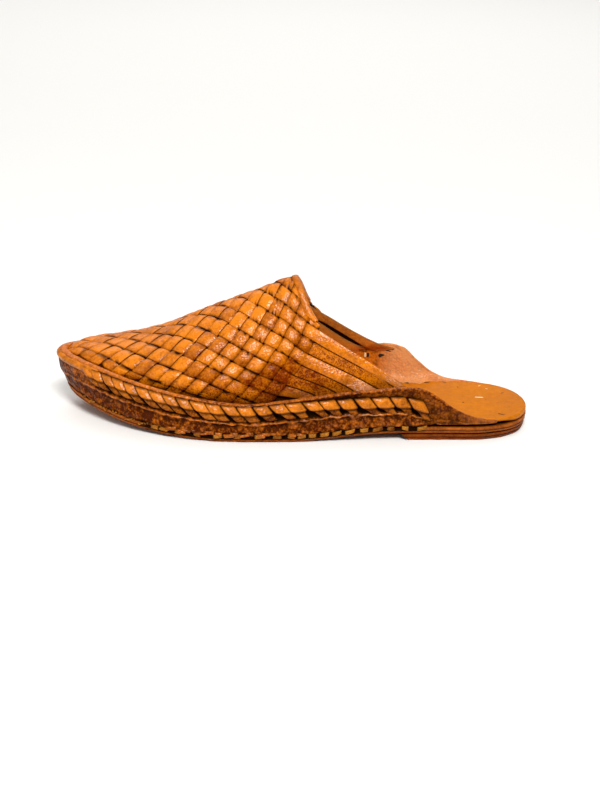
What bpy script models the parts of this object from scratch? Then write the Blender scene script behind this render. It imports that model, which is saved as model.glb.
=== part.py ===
"""A leather mule with a woven vamp, an open heel and a laced side wall.

Sizes are in millimetres and become metres where a mesh is made. A station is the distance from the
toe rim towards the heel. The toe points to -X, the outer side of the foot is at -Y, the inner side
at +Y, and the floor is z = 0.
"""

import math

import bmesh
import bpy
import numpy as np

MM = 0.001

# Whole shoe
LENGTH = 280.0
ORIGIN_STATION = 139.33
SIDE_STEPS = 62
GAP = 0.3
TOE_SPRING = 12.5
TOE_SPRING_END = 101.0
TOE_BEND = 4.0
TOE_BEND_END = 110.0
TOE_RAKE = 4.2
TOE_RAKE_END = 70.0

# Sole
OUTSOLE_THICK = 4.0
OUTSOLE_FOOT_INSET = 1.4
OUTSOLE_EDGE_INSET = 0.3
HEEL_LIFT_THICK = 4.0
HEEL_LIFT_INSET = 1.0
HEEL_LIFT_TAPER = 0.9
HEEL_BREAST_TOP = 204.0
HEEL_BREAST_SLANT = 4.5
ARCH_START = 140.0
ARCH_END = 203.0
INSOLE_THICK = 3.2
INSOLE_ROUND = 0.9
INSOLE_CUP = 0.8

# Side wall, its lip and its lace
WALL_FOOT_INSET = 0.6
WALL_TOP_INSET = 1.9
WALL_THICK = 3.3
LIP_INSET = 4.2
LIP_INNER_INSET = 5.2
LIP_RISE = 1.2
LIP_FALL = 1.4
TAIL_START = 228.0
TAIL_END = 260.0
TAIL_THICK = 1.0
BRAID_HALF = 4.6
BRAID_BASE = 1.5
BRAID_RAISE = 1.2
BRAID_BORDER = 0.8
BRAID_END_OUTER = 221.0
BRAID_END_INNER = 208.0

# Woven upper
UPPER_THICK = 2.2
STRIP_RAISE = 0.8
STRIP_BORDER = 1.0
UPPER_INSET = 6.4
UPPER_SPRING_DROP = 2.5
UPPER_TUCK = 120.0
UPPER_LOWEST = -8.0
RIDGE_ROUND = 4.0
CELL_START = 1.0
CELL_STEP = 6.9
CELL_EASE = 0.012
GIRTH_STEP = 6.5
CELL_ROWS = 34
GIRTH_ROWS = 20
WEAVE_END = 27
TOE_WIDEN = 14.0
TOE_WIDEN_END = 60.0
TRIM_INSET = 5.55

# Outline of the wall seen from above: share of the length, outer and inner half width
PLAN = (
    (0.00, 0.0, 0.0),
    (0.03, 14.5, 14.5),
    (0.08, 25.0, 24.0),
    (0.16, 36.8, 34.8),
    (0.26, 45.2, 43.6),
    (0.36, 48.0, 48.0),
    (0.50, 45.0, 45.0),
    (0.65, 39.2, 38.4),
    (0.80, 34.8, 34.4),
    (0.90, 31.8, 31.8),
    (0.97, 21.5, 21.5),
    (1.00, 0.0, 0.0),
)

# Side wall: station, lip height outside, lip height inside, middle height of the lace
WALL = (
    (0.0, 36.0, 36.0, 29.8),
    (28.0, 33.2, 33.2, 27.0),
    (52.0, 29.6, 29.6, 23.5),
    (76.0, 26.2, 26.2, 20.3),
    (100.0, 23.4, 23.4, 17.6),
    (118.0, 22.4, 22.4, 17.2),
    (136.0, 24.4, 24.6, 18.8),
    (160.0, 27.8, 28.6, 20.4),
    (184.0, 30.2, 32.0, 20.8),
    (200.0, 31.8, 33.6, 21.2),
    (208.0, 32.2, 31.4, 20.8),
    (216.0, 31.0, 24.2, 18.6),
    (224.0, 26.6, 18.2, 15.4),
    (232.0, 20.7, 14.4, 12.6),
    (244.0, 15.2, 12.6, 11.4),
    (260.0, 11.8, 11.8, 10.2),
)

# Arched vamp: station, ridge height, fullness of the arch, sideways place of the ridge
VAMP = (
    (-6.0, 28.0, 2.10, 6.4),
    (6.0, 35.2, 2.10, 5.8),
    (12.0, 37.8, 2.10, 5.2),
    (20.0, 39.6, 2.08, 4.7),
    (32.0, 41.8, 2.06, 4.0),
    (46.0, 44.5, 2.02, 3.4),
    (60.0, 48.6, 1.95, 2.8),
    (74.0, 55.0, 1.82, 2.4),
    (88.0, 62.1, 1.66, 2.1),
    (104.0, 69.5, 1.46, 2.0),
    (120.0, 76.6, 1.30, 2.0),
    (132.0, 82.8, 1.21, 2.0),
    (142.0, 87.4, 1.15, 2.0),
    (176.0, 100.0, 1.08, 1.0),
    (230.0, 116.0, 1.06, 0.0),
)

# Cut edge of the throat and the straps: station, height, fall towards the inner side
TOPLINE = (
    (134.0, 91.0, 0.00),
    (139.5, 88.4, 0.08),
    (142.5, 86.6, 0.16),
    (145.2, 82.6, 0.20),
    (148.4, 75.4, 0.20),
    (153.6, 64.6, 0.16),
    (160.0, 57.6, 0.12),
    (170.0, 50.8, 0.09),
    (182.0, 44.0, 0.08),
    (194.0, 37.4, 0.08),
    (207.0, 31.2, 0.06),
)
HEEL_TUCK_STATION = 200.0


def read_table(rows, column, place, key=lambda value: value):
    """Smooth curve through one column of a table, over its first column."""
    table = np.array(rows, dtype=float)
    knots = key(table[:, 0])
    values = table[:, column]
    slopes = np.gradient(values, knots)
    place = np.clip(key(np.asarray(place, dtype=float)), knots[0], knots[-1])
    low = np.clip(np.searchsorted(knots, place) - 1, 0, len(knots) - 2)
    step = knots[low + 1] - knots[low]
    t = (place - knots[low]) / step
    return (values[low] * (1 + 2 * t) * (1 - t) ** 2
            + slopes[low] * step * t * (1 - t) ** 2
            + values[low + 1] * t * t * (3 - 2 * t)
            + slopes[low + 1] * step * t * t * (t - 1))


def turn_of(share):
    """Angle round an oval for a share of its length, so that both ends come out round."""
    return np.arccos(np.clip(1 - 2 * share, -1, 1))


def half_width(station, column):
    """Half width of the wall's outline."""
    return read_table(PLAN, column, np.clip(station / LENGTH, 0, 1), turn_of)


def fade(station, end):
    """1 at the toe, falling softly to 0 at the end station."""
    return np.clip(1 - station / end, 0, 1.5) ** 2


def ease(value):
    """Soft step from 0 to 1."""
    value = np.clip(value, 0, 1)
    return value * value * (3 - 2 * value)


def outline_side(column, sign):
    """Evenly spaced points of one side of the outline, from the toe to the heel."""
    turn = np.linspace(0, math.pi, 1601)
    station = LENGTH * (1 - np.cos(turn)) / 2
    across = sign * half_width(station, column) + TOE_BEND * fade(station, TOE_BEND_END)
    run = np.concatenate([[0], np.cumsum(np.hypot(np.diff(station), np.diff(across)))])
    even = np.linspace(0, run[-1], SIDE_STEPS + 1)
    return np.interp(even, run, station), np.interp(even, run, across)


outer_station, outer_across = outline_side(1, -1)
inner_station, inner_across = outline_side(2, 1)
STATION = np.concatenate([outer_station, inner_station[-2:0:-1]])
ACROSS = np.concatenate([outer_across, inner_across[-2:0:-1]])
RING = len(STATION)
along = np.roll(STATION, -1) - np.roll(STATION, 1)
aside = np.roll(ACROSS, -1) - np.roll(ACROSS, 1)
INWARD = np.stack([-aside, along], axis=1) / np.hypot(along, aside)[:, None]
IS_OUTER = np.arange(RING) <= SIDE_STEPS


def sole_height(station):
    """Height of the outsole's underside: toe spring, flat forefoot, arch, heel."""
    spring = TOE_SPRING * np.clip(1 - station / TOE_SPRING_END, 0, 1.5) ** 2
    lift = HEEL_LIFT_THICK + GAP
    return spring + lift * ease((station - ARCH_START) / (ARCH_END - ARCH_START))


def seat_height(station):
    """Height of the outsole's upper face, with the gap above it."""
    return sole_height(station) + OUTSOLE_THICK + GAP


def ring(inset, level=0.0):
    """The outline moved inwards; level 0 is the foot of the toe's rake and 1 its top."""
    place = np.stack([STATION, ACROSS], axis=1) + INWARD * np.broadcast_to(inset, RING)[:, None]
    place[:, 0] += TOE_RAKE * fade(STATION, TOE_RAKE_END) * (1 - np.broadcast_to(level, RING)) ** 1.5
    return place


def to_metres(station, across, height):
    """Point of the shoe in the model's frame."""
    return ((station - ORIGIN_STATION) * MM, across * MM, height * MM)


def ring_points(inset, height, level=0.0):
    """A ring of points at a height, which may follow the station."""
    place = ring(inset, level)
    rise = height(place[:, 0]) if callable(height) else np.broadcast_to(height, RING)
    return [to_metres(s, a, z) for (s, a), z in zip(place, rise)]


parts = bpy.data.collections.new("woven_mule")
cutters = bpy.data.collections.new("cutters")
for old in list(bpy.data.objects):
    bpy.data.objects.remove(old, do_unlink=True)
for group in (parts, cutters):
    bpy.context.scene.collection.children.link(group)


def leather(name, colour, roughness):
    """Plain leather material."""
    material = bpy.data.materials.new(name)
    material.use_nodes = True
    shader = material.node_tree.nodes["Principled BSDF"]
    shader.inputs["Base Color"].default_value = (*colour, 1.0)
    shader.inputs["Roughness"].default_value = roughness
    shader.inputs["Metallic"].default_value = 0.0
    return material


def add_object(name, mesh_builder, group, material=None):
    """Closed mesh with its faces pointing out, as an object."""
    bmesh.ops.recalc_face_normals(mesh_builder, faces=mesh_builder.faces)
    mesh = bpy.data.meshes.new(name)
    mesh_builder.to_mesh(mesh)
    mesh_builder.free()
    piece = bpy.data.objects.new(name, mesh)
    group.objects.link(piece)
    if material:
        mesh.materials.append(material)
    else:
        piece.hide_render = True
        piece.display_type = "WIRE"
    return piece


def loft(builder, rows, closed):
    """Quads between rows of points; a closed loft joins the ends of each row."""
    layers = [[builder.verts.new(point) for point in row] for row in rows]
    count = len(layers[0])
    for lower, upper in zip(layers, layers[1:]):
        for k in range(count if closed else count - 1):
            nxt = (k + 1) % count
            builder.faces.new((lower[k], lower[nxt], upper[nxt], upper[k]))
    return layers


def ladder(builder, layer):
    """Faces from side to side across a ring, so that the face follows the sole's curve."""
    for k in range(SIDE_STEPS):
        corners = [layer[k], layer[k + 1], layer[RING - k - 1], layer[(RING - k) % RING]]
        builder.faces.new(list(dict.fromkeys(corners)))


# Outsole
builder = bmesh.new()
layers = loft(builder, [
    ring_points(OUTSOLE_FOOT_INSET, sole_height, -0.22),
    ring_points(OUTSOLE_EDGE_INSET, lambda s: sole_height(s) + 0.5 * OUTSOLE_THICK, -0.12),
    ring_points(OUTSOLE_EDGE_INSET, lambda s: sole_height(s) + OUTSOLE_THICK, 0.0),
], True)
ladder(builder, layers[0])
ladder(builder, layers[-1])
add_object("outsole", builder, parts, leather("sole_leather", (0.16, 0.075, 0.035), 0.6))

# Heel lift: the rear of the outline, closed by a slanted breast
builder = bmesh.new()
rear = np.flatnonzero(STATION > HEEL_BREAST_TOP + 6.0)
lift_rows = []
for inset, height, slant in ((HEEL_LIFT_INSET + HEEL_LIFT_TAPER, 0.0, HEEL_BREAST_SLANT),
                             (HEEL_LIFT_INSET, HEEL_LIFT_THICK, 0.0)):
    place = ring(inset)
    start = HEEL_BREAST_TOP + slant
    first, last = place[rear[0]], place[rear[-1]]
    flat = [(start, first[1] - 0.6), *[tuple(p) for p in place[rear]], (start, last[1] + 0.6)]
    lift_rows.append([to_metres(s, a, height) for s, a in flat])
layers = loft(builder, lift_rows, True)
for layer in layers:
    builder.faces.new(layer)
add_object("heel_lift", builder, parts, leather("heel_leather", (0.20, 0.095, 0.045), 0.6))

# Side wall with its two ears and the rolled lip
LIP = np.where(IS_OUTER, read_table(WALL, 1, STATION), read_table(WALL, 2, STATION))
LACE = read_table(WALL, 3, STATION)
BASE = seat_height(ring(WALL_FOOT_INSET)[:, 0])
TALL = LIP - BASE
TAIL = ease((STATION - TAIL_START) / (TAIL_END - TAIL_START))
THICK = WALL_THICK + (TAIL_THICK - WALL_THICK) * TAIL
SLIM = 1 - TAIL


def wall_ring(inset, height):
    """Ring on the side wall, raked at the toe by its height on the wall."""
    level = np.clip((height - BASE) / TALL, 0, 1)
    place = ring(inset, level)
    return [to_metres(s, a, z) for (s, a), z in zip(place, height)]


def wall_inset(height):
    """Inset of the wall's outer face at a height."""
    share = np.clip((height - BASE) / TALL, 0, 1)
    return WALL_FOOT_INSET + (WALL_TOP_INSET - WALL_FOOT_INSET) * share * SLIM


lace_half = np.minimum(BRAID_HALF, 0.3 * TALL)
lip_outer = LIP - np.minimum(LIP_FALL, 0.15 * TALL)
levels = [BASE, LACE - lace_half, LACE, LACE + lace_half, lip_outer]
wall_rows = [wall_ring(wall_inset(level), level) for level in levels]
top_inset = wall_inset(lip_outer)
wall_rows.append(wall_ring(top_inset + (LIP_INSET - WALL_TOP_INSET) * SLIM + 0.4 * TAIL, LIP + LIP_RISE * SLIM))
wall_rows.append(wall_ring(top_inset + (LIP_INNER_INSET - WALL_TOP_INSET) * SLIM + TAIL_THICK * TAIL,
                           LIP + 0.4 * LIP_RISE * SLIM - 0.2 * TAIL))
wall_rows.append(wall_ring(WALL_FOOT_INSET + THICK, LIP - 0.25 * TALL))
wall_rows.append(wall_ring(WALL_FOOT_INSET + THICK, BASE))

outer_end = int(np.flatnonzero(outer_station < TAIL_END)[-1])
inner_end = RING - int(np.flatnonzero(inner_station < TAIL_END)[-1])
order = list(range(outer_end, -1, -1)) + list(range(RING - 1, inner_end - 1, -1))
builder = bmesh.new()
layers = loft(builder, [[row[k] for row in wall_rows] for k in order], True)
builder.faces.new(layers[0])
builder.faces.new(layers[-1])
add_object("rand", builder, parts, leather("wall_leather", (0.22, 0.075, 0.035), 0.55))

# Insole: inside the wall, and out to the edge at the heel seat
wall_there = np.zeros(RING, dtype=bool)
wall_there[order] = True
seat_inset = np.where(wall_there, WALL_FOOT_INSET + THICK + GAP, OUTSOLE_EDGE_INSET + GAP)


def seat_cup(station):
    """Rise of the footbed's rim at the heel."""
    return INSOLE_CUP * ease((station - 200.0) / 40.0)


builder = bmesh.new()
layers = loft(builder, [
    ring_points(seat_inset, seat_height),
    ring_points(seat_inset, lambda s: seat_height(s) + INSOLE_THICK - INSOLE_ROUND + seat_cup(s)),
    ring_points(seat_inset + INSOLE_ROUND, lambda s: seat_height(s) + INSOLE_THICK + seat_cup(s)),
    ring_points(seat_inset + 9.0 * ease(STATION / 40.0) + INSOLE_ROUND,
                lambda s: seat_height(s) + INSOLE_THICK),
], True)
ladder(builder, layers[0])
ladder(builder, layers[-1])
add_object("insole", builder, parts, leather("footbed_leather", (0.62, 0.22, 0.05), 0.4))

# Laced thong: slanted links on a band that lies on the wall
start = int(np.flatnonzero(outer_station < BRAID_END_OUTER)[-1])
stop = int(np.flatnonzero(inner_station < BRAID_END_INNER)[-1])
path = list(range(start, -1, -1)) + list(range(RING - 1, RING - stop - 1, -1))
braid_rows = {}
for name, out in (("inner", GAP), ("outer", GAP + BRAID_BASE)):
    braid_rows[name] = [wall_ring(wall_inset(level) - out, level)
                        for level in (LACE + lace_half - 0.2, LACE, LACE - lace_half + 0.2)]
builder = bmesh.new()
links = (len(path) - 4) // 2
faces_of = {}
grid = {}
for name in ("inner", "outer"):
    for row in range(3):
        for k in range(2 * links + 1):
            grid[name, row, k] = builder.verts.new(braid_rows[name][row][path[k + 2 - row]])
for name in ("inner", "outer"):
    for row in range(2):
        for k in range(2 * links):
            face = builder.faces.new([grid[name, row, k], grid[name, row, k + 1],
                                      grid[name, row + 1, k + 1], grid[name, row + 1, k]])
            faces_of.setdefault((name, row, k // 2), []).append(face)
for row, last in ((0, 2 * links), (2, 2 * links)):
    for k in range(last):
        builder.faces.new([grid["inner", row, k], grid["inner", row, k + 1],
                           grid["outer", row, k + 1], grid["outer", row, k]])
for k in (0, 2 * links):
    for row in range(2):
        builder.faces.new([grid["inner", row, k], grid["inner", row + 1, k],
                           grid["outer", row + 1, k], grid["outer", row, k]])
bmesh.ops.recalc_face_normals(builder, faces=builder.faces)
for (name, row, link), faces in faces_of.items():
    if name == "outer":
        bmesh.ops.inset_region(builder, faces=faces, thickness=BRAID_BORDER * MM,
                               depth=BRAID_RAISE * MM, use_even_offset=True)
add_object("braid", builder, parts, leather("lace_leather", (0.30, 0.13, 0.05), 0.5))


# Woven upper
def cell_station(row):
    """Station of a row of the weave; the rows draw closer towards the throat."""
    return CELL_START + CELL_STEP * row - CELL_EASE * row * row


def section(station, side):
    """One side of the vamp's arch, from the ridge to below its foot: run, place across, height."""
    column, sign, lip_column = (1, -1, 1) if side < 0 else (2, 1, 2)
    widened = station + TOE_WIDEN * fade(station, TOE_WIDEN_END)
    bend = TOE_BEND * fade(np.clip(station, 0, None), TOE_BEND_END)
    edge = sign * (half_width(widened, column) - UPPER_INSET) + bend
    foot = read_table(WALL, lip_column, station) - UPPER_SPRING_DROP
    ridge = read_table(VAMP, 1, station)
    power = read_table(VAMP, 2, station)
    middle = read_table(VAMP, 3, station)
    width = abs(edge - middle)
    turn = np.linspace(math.pi / 2, 0, 90)
    reach = width * np.cos(turn) ** (2 / power)
    reach[0] = 0.0
    full = math.sqrt((width + RIDGE_ROUND) ** 2 - RIDGE_ROUND ** 2)
    share = np.sqrt((reach + RIDGE_ROUND) ** 2 - RIDGE_ROUND ** 2) / full
    across = middle + (edge - middle) * share
    height = foot + (ridge - foot) * np.sin(turn) ** (2 / power)
    across = np.append(across, edge)
    height = np.append(height, foot - UPPER_TUCK)
    run = np.concatenate([[0], np.cumsum(np.hypot(np.diff(across), np.diff(height)))])
    return run, across, height


sections = {(row, side): section(cell_station(row), side)
            for row in range(-1, CELL_ROWS + 2) for side in (-1, 1)}


def weave_point(row, girth):
    """Point of the upper's outer face; girth counts from the ridge, below 0 on the outer side."""
    run, across, height = sections[row, -1 if girth < 0 else 1]
    place = abs(girth) * GIRTH_STEP
    return to_metres(cell_station(row), np.interp(place, run, across), np.interp(place, run, height))


builder = bmesh.new()
cells = CELL_ROWS + 2 * GIRTH_ROWS
bmesh.ops.create_grid(builder, x_segments=cells, y_segments=cells, size=cells / 2)
lattice = {}
for vert in builder.verts:
    first = round(vert.co.x + cells / 2) - GIRTH_ROWS
    second = round(vert.co.y + cells / 2) - GIRTH_ROWS
    lattice[vert] = (first + second, first - second)
outside = [vert for vert, (row, girth) in lattice.items()
           if not (-1 <= row <= CELL_ROWS + 1 and abs(girth) <= GIRTH_ROWS)]
bmesh.ops.delete(builder, geom=outside, context="VERTS")
for vert in builder.verts:
    vert.co = weave_point(*lattice[vert])
hidden = [vert for vert in builder.verts if vert.co.z < UPPER_LOWEST * MM]
bmesh.ops.delete(builder, geom=hidden, context="VERTS")
loose = [vert for vert in builder.verts if not vert.link_faces]
bmesh.ops.delete(builder, geom=loose, context="VERTS")
lattice = {vert: lattice[vert] for vert in builder.verts}
strands = {}
for face in builder.faces:
    row = sum(lattice[vert][0] for vert in face.verts) / 4
    girth = sum(lattice[vert][1] for vert in face.verts) / 4
    if row + abs(girth) > WEAVE_END:
        strands.setdefault((girth > 0, round(row - abs(girth))), []).append(face)
    else:
        strands[face.index, row, girth] = [face]
bmesh.ops.recalc_face_normals(builder, faces=builder.faces)
if sum(face.normal.z for face in builder.faces) < 0:
    bmesh.ops.reverse_faces(builder, faces=builder.faces)
builder.normal_update()
inner_of = {vert: builder.verts.new(vert.co - vert.normal * UPPER_THICK * MM) for vert in lattice}
border = [edge for edge in builder.edges if edge.is_boundary]
for face in list(builder.faces):
    builder.faces.new([inner_of[vert] for vert in reversed(face.verts)])
for edge in border:
    one, two = edge.verts
    builder.faces.new((one, two, inner_of[two], inner_of[one]))
bmesh.ops.recalc_face_normals(builder, faces=builder.faces)
for faces in strands.values():
    bmesh.ops.inset_region(builder, faces=faces, thickness=STRIP_BORDER * MM,
                           depth=STRIP_RAISE * MM, use_even_offset=True)
upper = add_object("upper", builder, parts, leather("woven_leather", (0.55, 0.20, 0.05), 0.35))

# The side view of the upper, from its foot on the insole round the cut edge, is a cutter
builder = bmesh.new()
foot_line = [(s, float(seat_height(np.array(s))) + INSOLE_THICK + GAP, 0.0)
             for s in np.linspace(HEEL_TUCK_STATION, -6.0, 17)]
side_view = [(-6.0, 120.0, 0.0), (TOPLINE[0][0], 120.0, 0.0), *TOPLINE, *foot_line]
side_rows = [[to_metres(s, across, z - fall * across) for s, z, fall in side_view]
             for across in np.linspace(-46.0, 46.0, 5)]
layers = loft(builder, side_rows, True)
for layer in (layers[0], layers[-1]):
    builder.faces.new(layer)
side_cutter = add_object("upper_side_view", builder, cutters)

# The plan of the upper, inside the wall, is the other cutter
builder = bmesh.new()
layers = loft(builder, [ring_points(TRIM_INSET, 4.0, 0.55), ring_points(TRIM_INSET, 130.0, 0.9)], True)
ladder(builder, layers[0])
ladder(builder, layers[-1])
plan_cutter = add_object("upper_plan", builder, cutters)

for cutter in (side_cutter, plan_cutter):
    trim = upper.modifiers.new(cutter.name, "BOOLEAN")
    trim.operation = "INTERSECT"
    trim.object = cutter
    trim.solver = "EXACT"
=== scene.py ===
"""The looks of a leather mule with a woven vamp, a laced side wall and an open heel.

Sizes are in millimetres and become metres where a mesh is laid. A station is the distance from the toe
rim towards the heel. The toe points to -X, the outer side of the foot is at -Y and the floor is z = 0.
A pair of stations or shares is where something starts and where it is full.
"""

import math

import bpy
import numpy as np
from mathutils import Matrix, Vector, noise


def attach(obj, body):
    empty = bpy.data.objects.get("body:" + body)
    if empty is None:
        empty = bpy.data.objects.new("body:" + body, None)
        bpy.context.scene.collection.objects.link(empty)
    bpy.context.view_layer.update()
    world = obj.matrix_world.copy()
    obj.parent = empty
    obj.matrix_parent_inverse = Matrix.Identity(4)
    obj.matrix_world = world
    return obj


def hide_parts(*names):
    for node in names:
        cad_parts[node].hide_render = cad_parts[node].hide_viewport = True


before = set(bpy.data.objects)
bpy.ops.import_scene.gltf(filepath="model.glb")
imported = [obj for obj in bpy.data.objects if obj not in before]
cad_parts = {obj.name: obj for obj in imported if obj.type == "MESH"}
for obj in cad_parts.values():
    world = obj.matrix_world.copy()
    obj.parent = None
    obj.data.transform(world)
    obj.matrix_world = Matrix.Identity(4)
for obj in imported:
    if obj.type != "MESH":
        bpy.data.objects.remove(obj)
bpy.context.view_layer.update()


# Outsole: one piece of thick sole leather cut to the outline of the last, with a toe spring and an arch.
# Its edge is left raw and dyed brown, so that the pressed layers show, and a channel is cut along its top
# edge for the stitches that hold the side wall.
MM = 0.001
LENGTH = 280.0
ORIGIN_STATION = 139.33
OUTLINE_STEPS = 400
OUTLINE_SAMPLES = 1601
GAP = 0.3
TOE_BEND = 4.0
TOE_BEND_END = 110.0
TOE_RAKE = 4.2
TOE_RAKE_END = 70.0
TOE_RAKE_POWER = 1.5
TOE_SPRING = 12.5
TOE_SPRING_END = 101.0
HEEL_LIFT_THICK = 4.0
ARCH = (140.0, 203.0)
OUTSOLE_THICK = 4.0
OUTSOLE_COLUMNS = 420
CHANNEL_DEEP = 0.7
CHANNEL_IN = (48.0, 60.0)
CHANNEL_OUT = (219.0, 213.0)
CHANNEL_SHADE = 0.75
CHANNEL_SHADE_TONE = 0.45
RIM_TONE = 0.75
RIM_TUCK = 0.22
EDGE_WAVE = 0.35
EDGE_WAVE_SIZE = 9.0
FADE_LIMIT = 1.5
WELD = 1e-6
MOTTLE_SIZE = 2.6
PORE_SIZE = 0.8
FLECK_SIZE = 1.6
BLOTCH_SHIFT = 0.26
MOTTLE_SHIFT = 0.2
GRAIN_SHIFT = 0.2
PORE_SHIFT = 0.5
STAIN_AND_SHADE_PULL = 0.8
ROUGH_SPREAD = 0.1
ROUGH_STAIN = 0.3
PORE_DEEP = 1.2
MOTTLE_HIGH = 1.6
BUMP_DEEP = 0.3
PORES_DULL = 0.75
RAW_DULL = 1.6
# Colour of the raw hide, also mixed in as a painted pale sheen and as painted light
RAW_HIDE_AND_SHEEN = "#E6AE7C"
SHEEN = "#FF9A4A"

# Outline seen from above: share of the length, outer and inner half width
PLAN = (
    (0.00, 0.0, 0.0),
    (0.03, 14.5, 14.5),
    (0.08, 25.0, 24.0),
    (0.16, 36.8, 34.8),
    (0.26, 45.2, 43.6),
    (0.36, 48.0, 48.0),
    (0.50, 45.0, 45.0),
    (0.65, 39.2, 38.4),
    (0.80, 34.8, 34.4),
    (0.90, 31.8, 31.8),
    (0.97, 21.5, 21.5),
    (1.00, 0.0, 0.0),
)

# Section of the outsole: share of the way to the middle line, inset, height, depth of the channel,
# dark edge, which on the top face is painted shade under the gaping footbed
OUTSOLE_SECTION = (
    (1.0, 4.0, 0.0, 0.0, 0.2),
    (0.5, 4.0, 0.0, 0.0, 0.2),
    (0.0, 3.2, 0.0, 0.0, 0.3),
    (0.0, 1.3, 0.1, 0.0, 0.5),
    (0.0, 0.7, 0.7, 0.0, 0.2),
    (0.0, 0.4, 1.6, 0.0, 0.1),
    (0.0, 0.9, 1.9, 0.3, 0.9),
    (0.0, 0.4, 2.2, 0.6, 0.3),
    (0.0, 0.3, 3.1, 1.0, 0.1),
    (0.0, 0.4, 3.7, 1.0, 0.0),
    (0.0, 0.9, 4.0, 1.0, 0.1),
    (0.0, 3.0, 4.0, 0.5, 0.8),
    (0.5, 3.0, 4.0, 0.0, 0.8),
    (1.0, 3.0, 4.0, 0.0, 0.8),
)


def read_table(rows, column, place, key=lambda value: value):
    """Smooth curve through one column of a table, over its first column."""
    table = np.array(rows, dtype=float)
    knots = key(table[:, 0])
    values = table[:, column]
    slopes = np.gradient(values, knots)
    place = np.clip(key(np.asarray(place, dtype=float)), knots[0], knots[-1])
    low = np.clip(np.searchsorted(knots, place) - 1, 0, len(knots) - 2)
    step = knots[low + 1] - knots[low]
    t = (place - knots[low]) / step
    return (values[low] * (1 + 2 * t) * (1 - t) ** 2
            + slopes[low] * step * t * (1 - t) ** 2
            + values[low + 1] * t * t * (3 - 2 * t)
            + slopes[low + 1] * step * t * t * (t - 1))


def half_width(station, column):
    """Half width of the outline, with both ends of the shoe coming out round."""
    return read_table(PLAN, column, np.clip(station / LENGTH, 0, 1), lambda share: np.arccos(1 - 2 * share))


def fade(station, end):
    """1 at the toe, falling softly to 0 at the end station."""
    return np.clip(1 - station / end, 0, FADE_LIMIT) ** 2


def ease(value, start, end):
    """Soft step from 0 at the start to 1 at the end, which may also lie below the start."""
    share = np.clip((value - start) / (end - start), 0, 1)
    return share * share * (3 - 2 * share)


def outline_side(column, sign):
    """Evenly spaced points of one side of the outline, from the toe to the heel, and its length."""
    turn = np.linspace(0, math.pi, OUTLINE_SAMPLES)
    station = LENGTH * (1 - np.cos(turn)) / 2
    across = sign * half_width(station, column) + TOE_BEND * fade(station, TOE_BEND_END)
    run = np.concatenate([[0], np.cumsum(np.hypot(np.diff(station), np.diff(across)))])
    even = np.linspace(0, run[-1], OUTLINE_STEPS + 1)
    return np.interp(even, run, station), np.interp(even, run, across), run[-1]


outer_station, outer_across, OUTER_RUN = outline_side(1, -1)
inner_station, inner_across, INNER_RUN = outline_side(2, 1)
outline = np.stack([np.concatenate([outer_station, inner_station[-2:0:-1]]),
                    np.concatenate([outer_across, inner_across[-2:0:-1]])], axis=1)
along = np.roll(outline, -1, axis=0) - np.roll(outline, 1, axis=0)
inward = np.stack([-along[:, 1], along[:, 0]], axis=1) / np.hypot(along[:, 0], along[:, 1])[:, None]


def round_outline(values, run):
    """A value of the outline at a run from the toe, below 0 on the outer side and above 0 on the inner."""
    share = np.where(run < 0, -run / OUTER_RUN / 2, 1 - run / INNER_RUN / 2) % 1
    return np.interp(share * len(values), np.arange(len(values) + 1), np.append(values, values[0]))


def run_at(station, side):
    """Run from the toe to a station; side is -1 for the outer side and 1 for the inner."""
    stations, length = (outer_station, OUTER_RUN) if side < 0 else (inner_station, INNER_RUN)
    return side * np.interp(station, stations, np.linspace(0, length, OUTLINE_STEPS + 1))


def ring_point(run, inset, level=0.0):
    """Station and place across of the outline moved inwards; level 0 is the foot of the toe's rake."""
    edge_station = round_outline(outline[:, 0], run)
    station = edge_station + round_outline(inward[:, 0], run) * inset
    across = round_outline(outline[:, 1], run) + round_outline(inward[:, 1], run) * inset
    return station + TOE_RAKE * fade(edge_station, TOE_RAKE_END) * (1 - level) ** TOE_RAKE_POWER, across


def round_run(u):
    """Run of a share of the outline: from the heel along the outer side to the toe and back inside."""
    return np.where(u < 0.5, OUTER_RUN, INNER_RUN) * (2 * u - 1)


def other_side(run):
    """The run of the point that faces this one across the shoe."""
    return np.where(run < 0, -run / OUTER_RUN * INNER_RUN, -run / INNER_RUN * OUTER_RUN)


def spread_point(run, spread, inset, level=0.0):
    """A ring point moved a share of its way to the middle line of the shoe."""
    station, across = ring_point(run, inset, level)
    far_station, far_across = ring_point(other_side(run), inset, level)
    return (station + (far_station - station) * spread / 2, across + (far_across - across) * spread / 2)


def sole_height(station):
    """Height of the outsole's underside: toe spring, flat forefoot, arch, heel."""
    return TOE_SPRING * fade(station, TOE_SPRING_END) + (HEEL_LIFT_THICK + GAP) * ease(station, *ARCH)


def lumps(points, size, seed):
    """Soft uneven swells between -1 and 1, about that size across."""
    return np.array([noise.noise(Vector(point) / size + Vector((seed, 0, 0))) for point in points])


def section_row(section, share):
    """Number of the row of a section's table at a share of its length."""
    return np.rint(share * (len(section) - 1)).astype(int)


def section_at(section, share):
    """Columns of a section's table at a share of its length."""
    return np.array(section)[section_row(section, share)].T


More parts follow.
